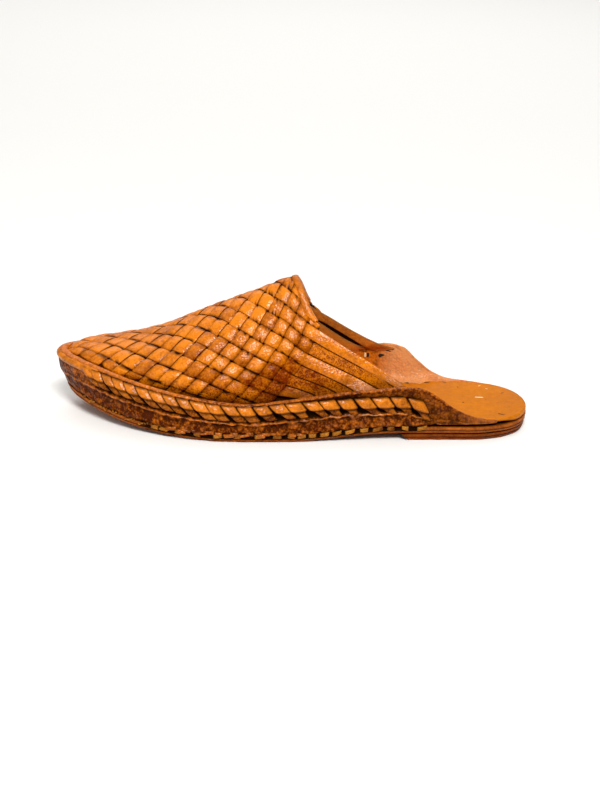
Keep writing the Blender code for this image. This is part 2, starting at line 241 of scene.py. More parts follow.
def lay_sheet(name, columns, rows, place):
    """Grid primitive whose two shares a place function turns into points of the shoe and its paint."""
    bpy.ops.object.select_all(action="DESELECT")
    bpy.ops.mesh.primitive_grid_add(x_subdivisions=columns, y_subdivisions=rows, size=1)
    piece = bpy.context.object
    piece.name = name
    piece.data.name = name
    flat = np.empty(3 * len(piece.data.vertices))
    piece.data.vertices.foreach_get("co", flat)
    points, paint = place(flat[0::3] + 0.5, flat[1::3] + 0.5)
    points = (np.stack(points, axis=1) - [ORIGIN_STATION, 0, 0]) * MM
    piece.data.vertices.foreach_set("co", points.ravel())
    for layer, values in paint.items():
        layer = piece.data.attributes.new(layer, "FLOAT", "POINT")
        layer.data.foreach_set("value", np.broadcast_to(values, len(flat) // 3).astype(np.float32))
    piece.data.update()
    return piece


def finish_sheet(piece, thick=0.0, smooth=1, closed=False):
    """Closes the seams of a sheet, or gives it its thickness, and rounds it."""
    bpy.ops.object.select_all(action="DESELECT")
    piece.select_set(True)
    bpy.context.view_layer.objects.active = piece
    if closed:
        bpy.ops.object.mode_set(mode="EDIT")
        bpy.ops.mesh.select_all(action="SELECT")
        bpy.ops.mesh.remove_doubles(threshold=WELD)
        bpy.ops.mesh.normals_make_consistent(inside=False)
        bpy.ops.object.mode_set(mode="OBJECT")
    if thick:
        wall = piece.modifiers.new("thickness", "SOLIDIFY")
        wall.thickness = thick * MM
        wall.offset = -1.0
    if smooth:
        rounding = piece.modifiers.new("rounding", "SUBSURF")
        rounding.levels = smooth
        rounding.render_levels = smooth
    for modifier in list(piece.modifiers):
        bpy.ops.object.modifier_apply(modifier=modifier.name)
    bpy.ops.object.shade_smooth()
    return piece


def join_sheets(name, sheets):
    """Several sheets as one piece."""
    bpy.ops.object.select_all(action="DESELECT")
    for sheet in sheets:
        sheet.select_set(True)
    bpy.context.view_layer.objects.active = sheets[0]
    bpy.ops.object.join()
    sheets[0].name = name
    sheets[0].data.name = name
    return sheets[0]


def dress(piece, material, slot, *nodes):
    """Gives a piece its material and its place in the frame."""
    piece.data.materials.clear()
    piece.data.materials.append(material)
    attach(piece, "root")
    if nodes:
        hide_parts(*nodes)


def linear(code):
    """Linear colour of an sRGB hex value."""
    parts = [int(code[k:k + 2], 16) / 255 for k in (1, 3, 5)]
    return (*[part / 12.92 if part <= 0.04045 else ((part + 0.055) / 1.055) ** 2.4 for part in parts], 1.0)


def add_node(tree, kind, settings, links=None):
    """One node with its settings and the sockets that feed it."""
    node = tree.nodes.new(kind)
    for name, value in settings.items():
        if isinstance(name, int) or name in node.inputs:
            node.inputs[name].default_value = value
        else:
            setattr(node, name, value)
    for name, socket in (links or {}).items():
        tree.links.new(socket, node.inputs[name])
    return node


def leather(name, light, dark, stain_and_shade, rough, coat, patch, grain, relief, flecks_and_glints=0.0):
    """Dyed leather: blotches of dye, edges and folds that are stained dark or given painted shade, a pebbled
    grain and a waxed gloss.

    The painted layers tone, edge, speckle and bare shift the dye, darken it where it is stained and where
    shade is painted into gaps, recesses and places that lie under other parts, open its pores, and show the
    raw hide or a painted pale sheen. Patch and grain are sizes in millimetres, and the last argument is the
    share of light specks, which are scuffs and painted glints.
    """
    material = bpy.data.materials.new(name)
    material.use_nodes = True
    tree = material.node_tree
    shader = tree.nodes["Principled BSDF"]
    place = add_node(tree, "ShaderNodeTexCoord", {}).outputs["Object"]
    paint = {layer: add_node(tree, "ShaderNodeAttribute", {"attribute_name": layer}).outputs["Fac"]
             for layer in ("tone", "edge", "speckle", "bare")}
    usual = {"From Min": 0.3, "From Max": 0.7}

    blotch = add_node(tree, "ShaderNodeTexNoise",
                      {"Scale": 1 / (patch * MM), "Detail": 4.0, "Roughness": 0.62},
                      {"Vector": place}).outputs["Fac"]
    mottle = add_node(tree, "ShaderNodeTexNoise", {"Scale": 1 / (MOTTLE_SIZE * MM), "Detail": 3.0},
                      {"Vector": place}).outputs["Fac"]
    pebble = add_node(tree, "ShaderNodeTexVoronoi", {"Scale": 1 / (grain * MM)},
                      {"Vector": place}).outputs["Distance"]
    pore = add_node(tree, "ShaderNodeTexVoronoi", {"Scale": 1 / (PORE_SIZE * MM)},
                    {"Vector": place}).outputs["Distance"]
    pore = add_node(tree, "ShaderNodeMapRange",
                    {"From Min": 0.2, "From Max": 0.5, "To Min": 1.0, "To Max": 0.0},
                    {"Value": pore}).outputs["Result"]
    pore = add_node(tree, "ShaderNodeMath", {"operation": "MULTIPLY"},
                    {0: pore, 1: paint["speckle"]}).outputs[0]

    shift = add_node(tree, "ShaderNodeMapRange", {**usual, "To Min": -BLOTCH_SHIFT, "To Max": BLOTCH_SHIFT},
                     {"Value": blotch}).outputs["Result"]
    fine = add_node(tree, "ShaderNodeMapRange", {**usual, "To Min": -MOTTLE_SHIFT, "To Max": MOTTLE_SHIFT},
                    {"Value": mottle}).outputs["Result"]
    shift = add_node(tree, "ShaderNodeMath", {"operation": "ADD"}, {0: shift, 1: fine}).outputs[0]
    grit = add_node(tree, "ShaderNodeMapRange",
                    {"From Min": 0.15, "From Max": 0.65,
                     "To Min": GRAIN_SHIFT * relief, "To Max": -GRAIN_SHIFT * relief},
                    {"Value": pebble}).outputs["Result"]
    shift = add_node(tree, "ShaderNodeMath", {"operation": "ADD"}, {0: shift, 1: grit}).outputs[0]
    shift = add_node(tree, "ShaderNodeMath", {"operation": "MULTIPLY_ADD", 1: -PORE_SHIFT},
                     {0: pore, 2: shift}).outputs[0]
    dye = add_node(tree, "ShaderNodeMath", {"operation": "ADD", "use_clamp": True},
                   {0: paint["tone"], 1: shift}).outputs[0]
    colour = add_node(tree, "ShaderNodeMix", {"data_type": "RGBA", 6: linear(dark), 7: linear(light)},
                      {0: dye})
    # Light specks: scuffs, and painted glints like those on the waxed wall
    if flecks_and_glints:
        speck = add_node(tree, "ShaderNodeTexNoise", {"Scale": 1 / (FLECK_SIZE * MM), "Detail": 2.0},
                         {"Vector": place}).outputs["Fac"]
        speck = add_node(tree, "ShaderNodeMapRange",
                         {"From Min": 0.57, "From Max": 0.66, "To Min": 0.0, "To Max": flecks_and_glints},
                         {"Value": speck}).outputs["Result"]
        colour = add_node(tree, "ShaderNodeMix", {"data_type": "RGBA", 7: linear(light)},
                          {0: speck, 6: colour.outputs[2]})
    # Dark mix: stain at edges and folds, and painted shade in gaps, recesses and under parts that lie over
    # others
    ragged = add_node(tree, "ShaderNodeMath", {"operation": "MULTIPLY"},
                      {0: mottle, 1: paint["edge"]}).outputs[0]
    ragged = add_node(tree, "ShaderNodeMath", {"operation": "MULTIPLY_ADD", 1: STAIN_AND_SHADE_PULL, "use_clamp": True},
                      {0: paint["edge"], 2: ragged}).outputs[0]
    colour = add_node(tree, "ShaderNodeMix", {"data_type": "RGBA", 7: linear(stain_and_shade)},
                      {0: ragged, 6: colour.outputs[2]})
    colour = add_node(tree, "ShaderNodeMix", {"data_type": "RGBA", 7: linear(RAW_HIDE_AND_SHEEN)},
                      {0: paint["bare"], 6: colour.outputs[2]})
    tree.links.new(colour.outputs[2], shader.inputs["Base Color"])

    worn = add_node(tree, "ShaderNodeMapRange",
                    {**usual, "To Min": rough - ROUGH_SPREAD, "To Max": rough + ROUGH_SPREAD},
                    {"Value": blotch}).outputs["Result"]
    worn = add_node(tree, "ShaderNodeMath", {"operation": "MULTIPLY_ADD", 1: ROUGH_STAIN, "use_clamp": True},
                    {0: paint["edge"], 2: worn}).outputs[0]
    tree.links.new(worn, shader.inputs["Roughness"])
    height = add_node(tree, "ShaderNodeMath", {"operation": "MULTIPLY_ADD", 1: -PORE_DEEP},
                      {0: pore, 2: pebble}).outputs[0]
    height = add_node(tree, "ShaderNodeMath", {"operation": "MULTIPLY_ADD", 1: MOTTLE_HIGH},
                      {0: mottle, 2: height}).outputs[0]
    bump = add_node(tree, "ShaderNodeBump", {"Strength": relief, "Distance": BUMP_DEEP * MM},
                    {"Height": height}).outputs["Normal"]
    tree.links.new(bump, shader.inputs["Normal"])
    tree.links.new(bump, shader.inputs["Coat Normal"])

    waxed = add_node(tree, "ShaderNodeMapRange",
                     {"From Min": 0.25, "From Max": 0.7, "To Min": 0.0, "To Max": coat},
                     {"Value": paint["tone"]}).outputs["Result"]
    clean = add_node(tree, "ShaderNodeMath", {"operation": "MULTIPLY_ADD", 1: -PORES_DULL, 2: 1.0},
                     {0: paint["speckle"]}).outputs[0]
    clean = add_node(tree, "ShaderNodeMath", {"operation": "SUBTRACT", "use_clamp": True},
                     {0: clean, 1: ragged}).outputs[0]
    clean = add_node(tree, "ShaderNodeMath", {"operation": "MULTIPLY_ADD", 1: -RAW_DULL, "use_clamp": True},
                     {0: paint["bare"], 2: clean}).outputs[0]
    waxed = add_node(tree, "ShaderNodeMath", {"operation": "MULTIPLY"}, {0: waxed, 1: clean}).outputs[0]
    tree.links.new(waxed, shader.inputs["Coat Weight"])
    shader.inputs["Coat Roughness"].default_value = 0.21
    shader.inputs["Specular IOR Level"].default_value = 0.14
    shader.inputs["Specular Tint"].default_value = linear(SHEEN)
    shader.inputs["IOR"].default_value = 1.48
    return material


def outsole_place(u, v):
    """Closed section of the outsole swept round the outline."""
    run = round_run(u)
    spread, inset, rise, deep, dark = section_at(OUTSOLE_SECTION, v)
    station = round_outline(outline[:, 0], run)
    channel = ease(station, *CHANNEL_IN) * ease(station, *CHANNEL_OUT)
    path = np.stack([*ring_point(run, 0.0), rise * 2], axis=1)
    wave = EDGE_WAVE * lumps(path, EDGE_WAVE_SIZE, seed=3.0) * (spread == 0)
    inset = inset + deep * CHANNEL_DEEP * channel + wave
    station, across = spread_point(run, spread, inset, -RIM_TUCK * (1 - rise / OUTSOLE_THICK))
    # Painted shade in the stitch channel: a dark edge and a lower tone
    edge = np.clip(dark + CHANNEL_SHADE * channel * deep, 0, 1)
    tone = CHANNEL_SHADE_TONE + (RIM_TONE - CHANNEL_SHADE_TONE) * (1 - channel)
    return (station, across, sole_height(station) + rise), {"edge": edge, "tone": tone}


outsole = lay_sheet("outsole_cut", OUTSOLE_COLUMNS, len(OUTSOLE_SECTION) - 1, outsole_place)
finish_sheet(outsole, smooth=1, closed=True)

# Sole leather is pressed hide with a dyed raw edge: fibrous, fairly matt, with a worn shine on its rim
sole_leather = leather("sole_leather_dyed", light="#B05A16", dark="#4A1A05", stain_and_shade="#0C0301", rough=0.55,
                       coat=0.12, patch=9.0, grain=1.3, relief=0.7, flecks_and_glints=0.35)
dress(outsole, sole_leather, "sole_leather", "outsole")


# Heel lift: a low slab of the same sole leather pegged under the rear of the outsole, with a slanted
# breast, built from two thin layers whose joint shows as a line along the edge.
LIFT_COLUMNS = 260
BREAST_TOP = 204.0
BREAST_SLANT = 4.5
LIFT_NOISE_AT = 40.0
LIFT_TONE = 0.6
LIFT_CREASE = 50.0

# Section of the lift: share to the middle, inset, height, dark edge
LIFT_SECTION = (
    (1.0, 3.0, 0.0, 0.3),
    (0.0, 3.2, 0.0, 0.4),
    (0.0, 2.0, 0.1, 0.5),
    (0.0, 1.6, 0.8, 0.1),
    (0.0, 1.4, 1.6, 0.2),
    (0.0, 1.8, 1.9, 0.9),
    (0.0, 1.3, 2.2, 0.2),
    (0.0, 1.1, 3.2, 0.0),
    (0.0, 1.3, 3.8, 0.2),
    (0.0, 2.2, 4.0, 0.9),
    (1.0, 3.0, 4.0, 0.8),
)


def lift_place(u, v):
    """Section of the lift swept round the heel, from the breast of one side to that of the other."""
    spread, inset, rise, dark = section_at(LIFT_SECTION, v)
    breast = BREAST_TOP + BREAST_SLANT * (1 - rise / HEEL_LIFT_THICK)
    turn = 2 * u - 1
    outer = -OUTER_RUN + (run_at(breast, -1) + OUTER_RUN) * -turn
    inner = INNER_RUN + (run_at(breast, 1) - INNER_RUN) * turn
    run = np.where(turn < 0, outer, inner)
    path = np.stack([*ring_point(run, 0.0), rise * 2 + LIFT_NOISE_AT], axis=1)
    wave = EDGE_WAVE * lumps(path, EDGE_WAVE_SIZE, seed=8.0) * (spread == 0)
    station, across = spread_point(run, spread, inset + wave)
    station = np.maximum(station, breast)
    return (station, across, rise), {"edge": dark, "tone": LIFT_TONE}


def cap_ends():
    """Welds the swept piece that was laid last and closes its two open ends."""
    bpy.ops.object.mode_set(mode="EDIT")
    bpy.ops.mesh.select_all(action="SELECT")
    bpy.ops.mesh.remove_doubles(threshold=WELD)
    bpy.ops.mesh.select_all(action="DESELECT")
    bpy.ops.mesh.select_non_manifold()
    bpy.ops.mesh.edge_face_add()
    bpy.ops.object.mode_set(mode="OBJECT")


heel_lift = lay_sheet("heel_lift_cut", LIFT_COLUMNS, len(LIFT_SECTION) - 1, lift_place)
cap_ends()
finish_sheet(heel_lift, smooth=0, closed=True)
bpy.ops.object.shade_smooth_by_angle(angle=math.radians(LIFT_CREASE))

# The lift is the same pressed hide, dyed darker and scuffed dull by the ground
heel_leather = leather("heel_leather_dyed", light="#96460F", dark="#3A1203", stain_and_shade="#0C0301", rough=0.55,
                       coat=0.08, patch=9.0, grain=1.3, relief=0.7, flecks_and_glints=0.35)
dress(heel_lift, heel_leather, "heel_leather", "heel_lift")


# Footbed: a soft orange hide glued over the outsole inside the wall. At the open heel it comes out to the
# edge, with a rounded rim, and the foot has cupped and polished it.
INSOLE_THICK = 3.2
INSOLE_CUP = 0.8
WALL_FOOT_INSET = 0.6
WALL_THICK = 3.3
TAIL_START = 228.0
TAIL_END = 260.0
TAIL_THICK = 1.0
FOOTBED_COLUMNS = 360
SOLE_SLOT = 1.7
SOLE_SLOT_IN = (214.0, 228.0)
SOLE_SLOT_OUT = (274.0, 262.0)
SEAT_BARE = (252.0, 262.0)
SEAT_TOE = (-8.0, 32.0)
SEAT_UNDER = 2.0
SEAT_TOP = 3.0
CUP_IN = (200.0, 240.0)
SEAT_WAVE = 0.25
SEAT_WAVE_SIZE = 26.0
SEAT_TONE = 0.62
SEAT_GAP_SHADE = 0.25

# Section of the footbed: share to the middle, inset, height, share of the cup, dark edge (painted shade on
# the underside and the lower edge, where the footbed gapes off the sole)
FOOTBED_SECTION = (
    (1.0, 3.0, 0.1, 0.0, 0.8),
    (0.0, 2.6, 0.1, 0.0, 0.9),
    (0.0, 0.6, 0.2, 0.0, 0.8),
    (0.0, 0.1, 0.7, 0.0, 0.3),
    (0.0, 0.0, 1.6, 0.4, 0.0),
    (0.0, 0.1, 2.5, 0.8, 0.0),
    (0.0, 0.6, 3.0, 1.0, 0.0),
    (0.0, 1.5, 3.2, 1.0, 0.0),
    (0.0, 4.5, 3.2, 0.7, 0.0),
    (0.0, 9.0, 3.2, 0.2, 0.0),
    (0.35, 9.0, 3.2, 0.0, 0.0),
    (0.7, 9.0, 3.2, 0.0, 0.0),
    (1.0, 9.0, 3.2, 0.0, 0.0),
)


def seat_height(station):
    """Height of the outsole's upper face, with the gap above it."""
    return sole_height(station) + OUTSOLE_THICK + GAP


def wall_thick(station):
    """Thickness of the side wall, which thins out along its tail."""
    return WALL_THICK + (TAIL_THICK - WALL_THICK) * ease(station, TAIL_START, TAIL_END)


def footbed_place(u, v):
    """Closed section of the footbed swept round the shoe; behind the last stitch it gapes off the sole."""
    run = round_run(u)
    spread, inset, rise, cup, dark = section_at(FOOTBED_SECTION, v)
    station = round_outline(outline[:, 0], run)
    beside_wall = 1 - ease(station, *SEAT_BARE)
    inset = inset * ease(station, *SEAT_TOE) + WALL_FOOT_INSET + (wall_thick(station) + GAP) * beside_wall
    station, across = spread_point(run, spread, inset)
    gape = SOLE_SLOT * ease(station, *SOLE_SLOT_IN) * ease(station, *SOLE_SLOT_OUT)
    gape = gape * (run < 0) * (rise < SEAT_UNDER)
    height = seat_height(station) + rise + gape + cup * INSOLE_CUP * ease(station, *CUP_IN)
    wave = lumps(np.stack([station, across, height], axis=1), SEAT_WAVE_SIZE, seed=5.0)
    height = height + SEAT_WAVE * wave * (rise > SEAT_TOP)
    # Painted shade on the underside and lower edge, in the gap where the footbed gapes off the sole
    return (station, across, height), {"edge": dark, "tone": SEAT_TONE - SEAT_GAP_SHADE * dark}


footbed = lay_sheet("footbed", FOOTBED_COLUMNS, len(FOOTBED_SECTION) - 1, footbed_place)
finish_sheet(footbed, smooth=1, closed=True)

# Vegetable tanned footbed hide, rubbed to a flat sheen: even orange with faint cracks and cloudy dye
footbed_leather = leather("footbed_hide_waxed", light="#C87206", dark="#A25604", stain_and_shade="#3A1806", rough=0.55,
                          coat=0.08, patch=34.0, grain=1.6, relief=0.2)
dress(footbed, footbed_leather, "footbed_leather", "insole")


# Side wall: a band of thick dark hide that stands on the outsole from one side of the heel round the toe
# to the other. Its top is rolled over into a lip, an ear rises on each side behind the vamp, and its
# lower flap is torn and waxed.
WALL_COLUMNS = 620
WALL_INNER_INSET = 3.9
SLIM_TALL = (3.2, 15.2)
TORN_WAVE = 0.72
TORN_WAVE_SIZE = 5.0
TORN_REAR = (165.0, 185.0)
TORN_DROP = 4.5
FLAP_FOOT = 3.8
FLAP_TOP = 1.2
SIDES_APART = 60.0
WALL_LUMP = 1.2
WALL_LUMP_SIZE = 4.0
WALL_PEBBLE = 0.6
WALL_PEBBLE_SIZE = 2.0
LINK_FIRST = 20.0
LACE_END_OUTER = 221.0
LACE_END_INNER = 208.0
LACE_PLAIN = (-7.0, -2.0)
ROLL_PLAIN = (12.0, 2.0)
LACE_HIGHEST = 0.62
LIP_TOP = 1.2
LIP_TOE_WIDE = 1.0
LIP_TOE_END = 50.0
CREST_INSET = 1.6
CORD_IN = (118.0, 158.0)
CORD_THIN = 0.2
FLAT_IN = (186.0, 202.0)
FLAT_THIN = 0.5
ROOMY = (7.5, 10.5)
ROOMY_INSET = 1.3
ROOMY_SHADE_FADE = 0.85
COVE_TOE = (-8.0, 52.0)
TOE_BULGE_END = 34.0
INSIDE_SWELL = 0.5
EAR_IN = (205.0, 220.0)
EAR_CALM = 0.6
EAR_STAIN = 0.32
TOE_CALM = 0.4
TOE_CALM_END = 120.0
LUMP_FLECK = 0.34
PEBBLE_FLECK = 0.42
LIP_DARK = 0.1
LIP_DARK_IN = (30.0, 75.0)
LIP_DARKER = 0.28
LIP_DARKER_IN = (60.0, 100.0)
INNER_LIP_OUT = (190.0, 170.0)
WING_LIGHT = 0.3
WING_LIGHT_IN = (180.0, 195.0)
TOE_FLAP_DARK = 0.12
TOE_FLAP_END = 90.0
REAR_IN = (150.0, 180.0)
REAR_FLAP_LIGHT = 0.14
TORN_BARE = 0.4
TORN_BARE_SIZE = 5.0
TORN_BARE_SHARP = 3.0
# Painted pale sheen on the inner face of the wings
WING_SHEEN = 0.38
WING_SHEEN_IN = (188.0, 202.0)
WING_SHEEN_OUT = (246.0, 232.0)
TAIL_TONE = 0.9

# Side wall: station, lip height outside, lip height inside, middle height of the lace
WALL = (
    (0.0, 36.0, 36.0, 29.8),
    (28.0, 33.2, 33.2, 27.0),
    (52.0, 29.6, 29.6, 23.5),
    (76.0, 26.2, 26.2, 20.3),
    (100.0, 23.4, 23.4, 17.6),
    (118.0, 22.4, 22.4, 17.2),
    (136.0, 24.4, 24.6, 18.8),
    (160.0, 27.8, 28.6, 20.4),
    (184.0, 30.2, 32.0, 20.8),
    (200.0, 31.8, 33.6, 21.2),
    (208.0, 32.2, 31.4, 20.8),
    (216.0, 31.0, 24.2, 18.6),
    (224.0, 26.6, 18.2, 15.4),
    (232.0, 20.7, 14.4, 12.6),
    (244.0, 15.2, 12.6, 11.4),
    (260.0, 11.8, 11.8, 10.2),
)

# Creases that wear has left: side, station and height of both ends, half width, depth, which is below 0
# for a ridge
CREASES = (
    (-1, 108.0, 44.0, 132.0, 30.0, 5.0, 0.7),
    (-1, 90.0, 58.0, 104.0, 46.0, 5.0, 0.5),
    (-1, 66.0, 44.0, 84.0, 34.0, 6.0, 0.5),
    (-1, 158.0, 52.0, 190.0, 36.0, 1.8, 0.6),
    (-1, 148.0, 46.0, 168.0, 35.0, 2.2, -0.5),
    (-1, 206.0, 28.0, 226.0, 19.0, 2.4, 0.7),
    (-1, 212.0, 25.0, 230.0, 15.0, 1.8, -0.5),
    (1, 104.0, 50.0, 128.0, 30.0, 6.0, 0.8),
    (1, 76.0, 46.0, 92.0, 34.0, 6.0, 0.5),
    (1, 190.0, 27.0, 222.0, 17.0, 3.0, 0.9),
    (1, 200.0, 21.0, 216.0, 14.5, 2.2, -0.6),
)

# Rows of the wall's section that others are counted from: the flap, crest of the torn edge, underside of
# the lip, its outer shoulder, inner face of the wall, cove at the footbed, end of the creases and of the
# cove
FLAP_ROW = 3
TORN_ROW = 9
LIP_ROW = 14
CREST_ROW = 17
INNER_ROW = 21
COVE_ROW = 23
CREASE_END_ROW = 26
COVE_END_ROW = 27

# Section of the wall: the line it hangs on (0 foot, 1 torn edge, 2 lace, 3 lip, 4 and 5 thirds of the flap
# between the first two), height from that line, inset where it is laced, inset behind the lace, inset of
# the thin tail, dark edge where it is laced and behind the lace, which is painted shade at the foot, under
# the torn edge, behind the links and under the lip, tone, which on the crest of the torn edge holds a painted
# highlight, how far it bulges at the toe
WALL_SECTION = (
    (0, 0.0, 3.9, 3.9, 1.6, 1.0, 1.0, 0.1, 0.0),
    (0, 0.0, 1.3, 1.3, 0.9, 0.9, 0.9, 0.1, 0.0),
    (0, 0.7, 0.5, 0.5, 0.6, 0.3, 0.3, 0.12, 0.0),
    (0, 2.2, 0.45, 0.45, 0.6, 0.0, 0.0, 0.2, 0.0),
    (0, 3.8, 0.55, 0.6, 0.6, 0.1, 0.05, 0.15, 0.4),
    (4, 0.0, 0.6, 0.65, 0.6, 0.1, 0.05, 0.15, 0.8),
    (5, 0.0, 0.75, 0.7, 0.6, 0.2, 0.1, 0.14, 1.2),
    (1, -1.2, 0.9, 0.7, 0.6, 0.4, 0.2, 0.1, 1.5),
    (1, -0.4, 0.4, 0.6, 0.6, 0.2, 0.1, 0.4, 1.6),
    # Crest of the torn edge: its high tone is a painted highlight
    (1, 0.3, -0.4, 0.5, 0.6, 0.0, 0.0, 0.75, 1.7),
    (1, 0.8, 0.6, 0.9, 0.6, 0.3, 0.1, 0.2, 1.9),
    (2, -2.9, 1.4, 1.0, 0.6, 0.8, 0.1, 0.2, 2.1),
    (2, -1.0, 2.3, 1.2, 0.6, 1.0, 0.1, 0.25, 2.2),
    (2, 2.4, 2.6, 1.4, 0.6, 1.0, 0.1, 0.3, 2.4),
    (3, -2.2, 2.8, 1.9, 0.6, 0.9, 0.3, 0.3, 2.2),
    (3, -1.5, 1.7, 1.5, 0.6, 0.3, 0.1, 0.45, 1.5),
    (3, -0.7, 1.2, 1.2, 0.6, 0.0, 0.0, 0.65, 0.9),
    (3, 0.0, 1.6, 1.6, 0.6, 0.0, 0.0, 0.8, 0.6),
    (3, 0.5, 2.4, 2.4, 0.8, 0.0, 0.0, 0.9, 0.2),
    (3, 0.5, 3.5, 3.5, 1.1, 0.0, 0.0, 0.8, 0.0),
    (3, 0.0, 4.3, 4.3, 1.5, 0.0, 0.0, 0.75, 0.0),
    (3, -1.6, 4.5, 4.5, 1.6, 0.1, 0.1, 0.85, 0.0),
    (3, -5.0, 4.4, 4.4, 1.6, 0.0, 0.0, 0.95, 0.0),
    (0, 8.5, 4.6, 4.6, 1.6, 0.0, 0.0, 1.0, 0.0),
    (0, 5.6, 5.4, 5.4, 1.6, 0.0, 0.0, 1.0, 0.0),
    (0, 4.1, 7.4, 7.4, 1.6, 0.0, 0.0, 1.0, 0.0),
    (0, 3.6, 10.4, 10.4, 1.7, 0.15, 0.15, 0.95, 0.0),
    (0, 2.9, 10.6, 10.6, 1.7, 0.8, 0.8, 0.6, 0.0),
    (0, 1.5, 6.0, 6.0, 1.7, 1.0, 1.0, 0.3, 0.0),
    (0, 0.0, 3.9, 3.9, 1.6, 1.0, 1.0, 0.1, 0.0),
)


def lip_height(station, side):
    """Height of the wall's lip on the outer or the inner side."""
    return np.where(side < 0, read_table(WALL, 1, station), read_table(WALL, 2, station))


def lace_height(station):
    """Height of the middle of the lace."""
    return read_table(WALL, 3, station)


def crease_depth(station, height, side):
    """How deep the leather is creased at a place of one side."""
    deep = np.zeros_like(station)
    for crease_side, from_station, from_height, to_station, to_height, wide, depth in CREASES:
        long_station = to_station - from_station
        long_height = to_height - from_height
        past_station = station - from_station
        past_height = height - from_height
        share = past_station * long_station + past_height * long_height
        share = np.clip(share / (long_station ** 2 + long_height ** 2), 0, 1)
        off = np.hypot(past_station - share * long_station, past_height - share * long_height)
        deep = deep + depth * np.exp(-(off / wide) ** 2) * (side == crease_side)
    return deep


def wall_height(row, station, side, foot, lip, slim):
    """Height of each point of the wall, and of the lace, which the torn flap hangs under."""
    line, rise = np.array(WALL_SECTION)[row, :2].T
    path = np.stack([station, SIDES_APART * side, np.zeros_like(station)], axis=1)
    torn = TORN_WAVE * lumps(path, TORN_WAVE_SIZE, seed=1.0) * (1 + ease(station, *TORN_REAR))
    lace = np.minimum(lace_height(station), foot + LACE_HIGHEST * (lip - foot))
    foot_line = foot + SOLE_SLOT * ease(station, *SOLE_SLOT_IN) * (side < 0)
    torn_line = lace - TORN_DROP * slim + torn * slim
    flap_foot = foot_line + FLAP_FOOT * slim
    flap_tall = torn_line - FLAP_TOP * slim - flap_foot
    thirds = (flap_foot + flap_tall / 3, flap_foot + flap_tall * 2 / 3)
    lines = np.stack([foot_line, torn_line, lace, lip, *thirds], axis=1)
    cord = ease(station, *CORD_IN) * ((row >= LIP_ROW) & (row < CREST_ROW))
    rise = rise * (1 - CORD_THIN * cord)
    height = np.take_along_axis(lines, line.astype(int)[:, None], axis=1)[:, 0] + rise * slim
    return np.clip(height, foot_line, lip + LIP_TOP * slim), lace


def wall_inset(row, station, behind, roomy, tail):
    """Inset of each point of the wall from the outline, before its swells and creases."""
    inset, plain, thin = np.array(WALL_SECTION)[row, 2:5].T
    bulge = np.array(WALL_SECTION)[row, 8]
    inset = inset + (plain - inset) * behind
    inset = inset + (ROOMY_INSET - inset) * roomy
    flat = 1 - FLAT_THIN * ease(station, *FLAT_IN)
    over_lip = (row > CREST_ROW) & (row <= INNER_ROW)
    inset = np.where(over_lip, CREST_INSET + (inset - CREST_INSET) * flat, inset)
    cove = np.maximum(inset - WALL_INNER_INSET, 0) * ease(station, *COVE_TOE)
    lip_wide = LIP_TOE_WIDE * fade(station, LIP_TOE_END)
    inset = inset + lip_wide * ((row > CREST_ROW) & (row < COVE_ROW))
    inset = np.where(row >= COVE_ROW, WALL_INNER_INSET + cove, inset)
    inset = inset + (thin - inset) * tail
    return inset - bulge * fade(station, TOE_BULGE_END)


def wall_paint(row, station, side, points, crest_wear_and_light, behind, roomy, tail):
    """Painted layers of the wall: stained flap and ear, burnished lip, raw hide on the torn edge, painted
    shade at the foot, under the torn edge, behind the links and under the lip, painted highlights on the torn
    edge and the crests of the lumps, and a painted pale sheen on the wings.
    """
    dark, dark_plain, tone = np.array(WALL_SECTION)[row, 5:8].T
    outside = (row > 1) & (row < LIP_ROW)
    lip_shade = (LIP_DARK + LIP_DARKER * ease(station, *LIP_DARKER_IN)) * ease(station, *LIP_DARK_IN)
    lip_shade = lip_shade * np.where(side < 0, 1.0, ease(station, *INNER_LIP_OUT))
    shade = lip_shade * ((row > LIP_ROW) & (row < INNER_ROW))
    wing_light = WING_LIGHT * ease(station, *WING_LIGHT_IN) * (side > 0)
    shade = shade - wing_light * ((row >= LIP_ROW) & (row <= INNER_ROW))
    shade = shade + TOE_FLAP_DARK * fade(station, TOE_FLAP_END) * (outside & (row <= TORN_ROW))
    shade = shade - REAR_FLAP_LIGHT * ease(station, *REAR_IN) * (row <= TORN_ROW + 1)
    # Painted shade at the foot, under the torn edge, behind the links and under the lip, weaker under the lip
    # where it stands well above the lace
    dark = (dark + (dark_plain - dark) * behind) * (1 - ROOMY_SHADE_FADE * roomy)
    dark = dark + EAR_STAIN * behind * outside * (side < 0) * ease(station, *EAR_IN)
    torn_bare = np.clip(TORN_BARE_SHARP * lumps(points, TORN_BARE_SIZE, seed=4.0), 0, 1) * (row == TORN_ROW)
    # Painted pale sheen on the wings, in the raw hide colour
    wing_sheen = ease(station, *WING_SHEEN_IN) * ease(station, *WING_SHEEN_OUT)
    bare = TORN_BARE * torn_bare * ease(station, *REAR_IN)
    bare = bare + WING_SHEEN * wing_sheen * ((row > CREST_ROW + 1) & (row < COVE_END_ROW))
    tone = tone + crest_wear_and_light - shade + (TAIL_TONE - tone) * tail
    return {"edge": np.clip(dark - crest_wear_and_light, 0, 1), "tone": tone, "bare": bare}


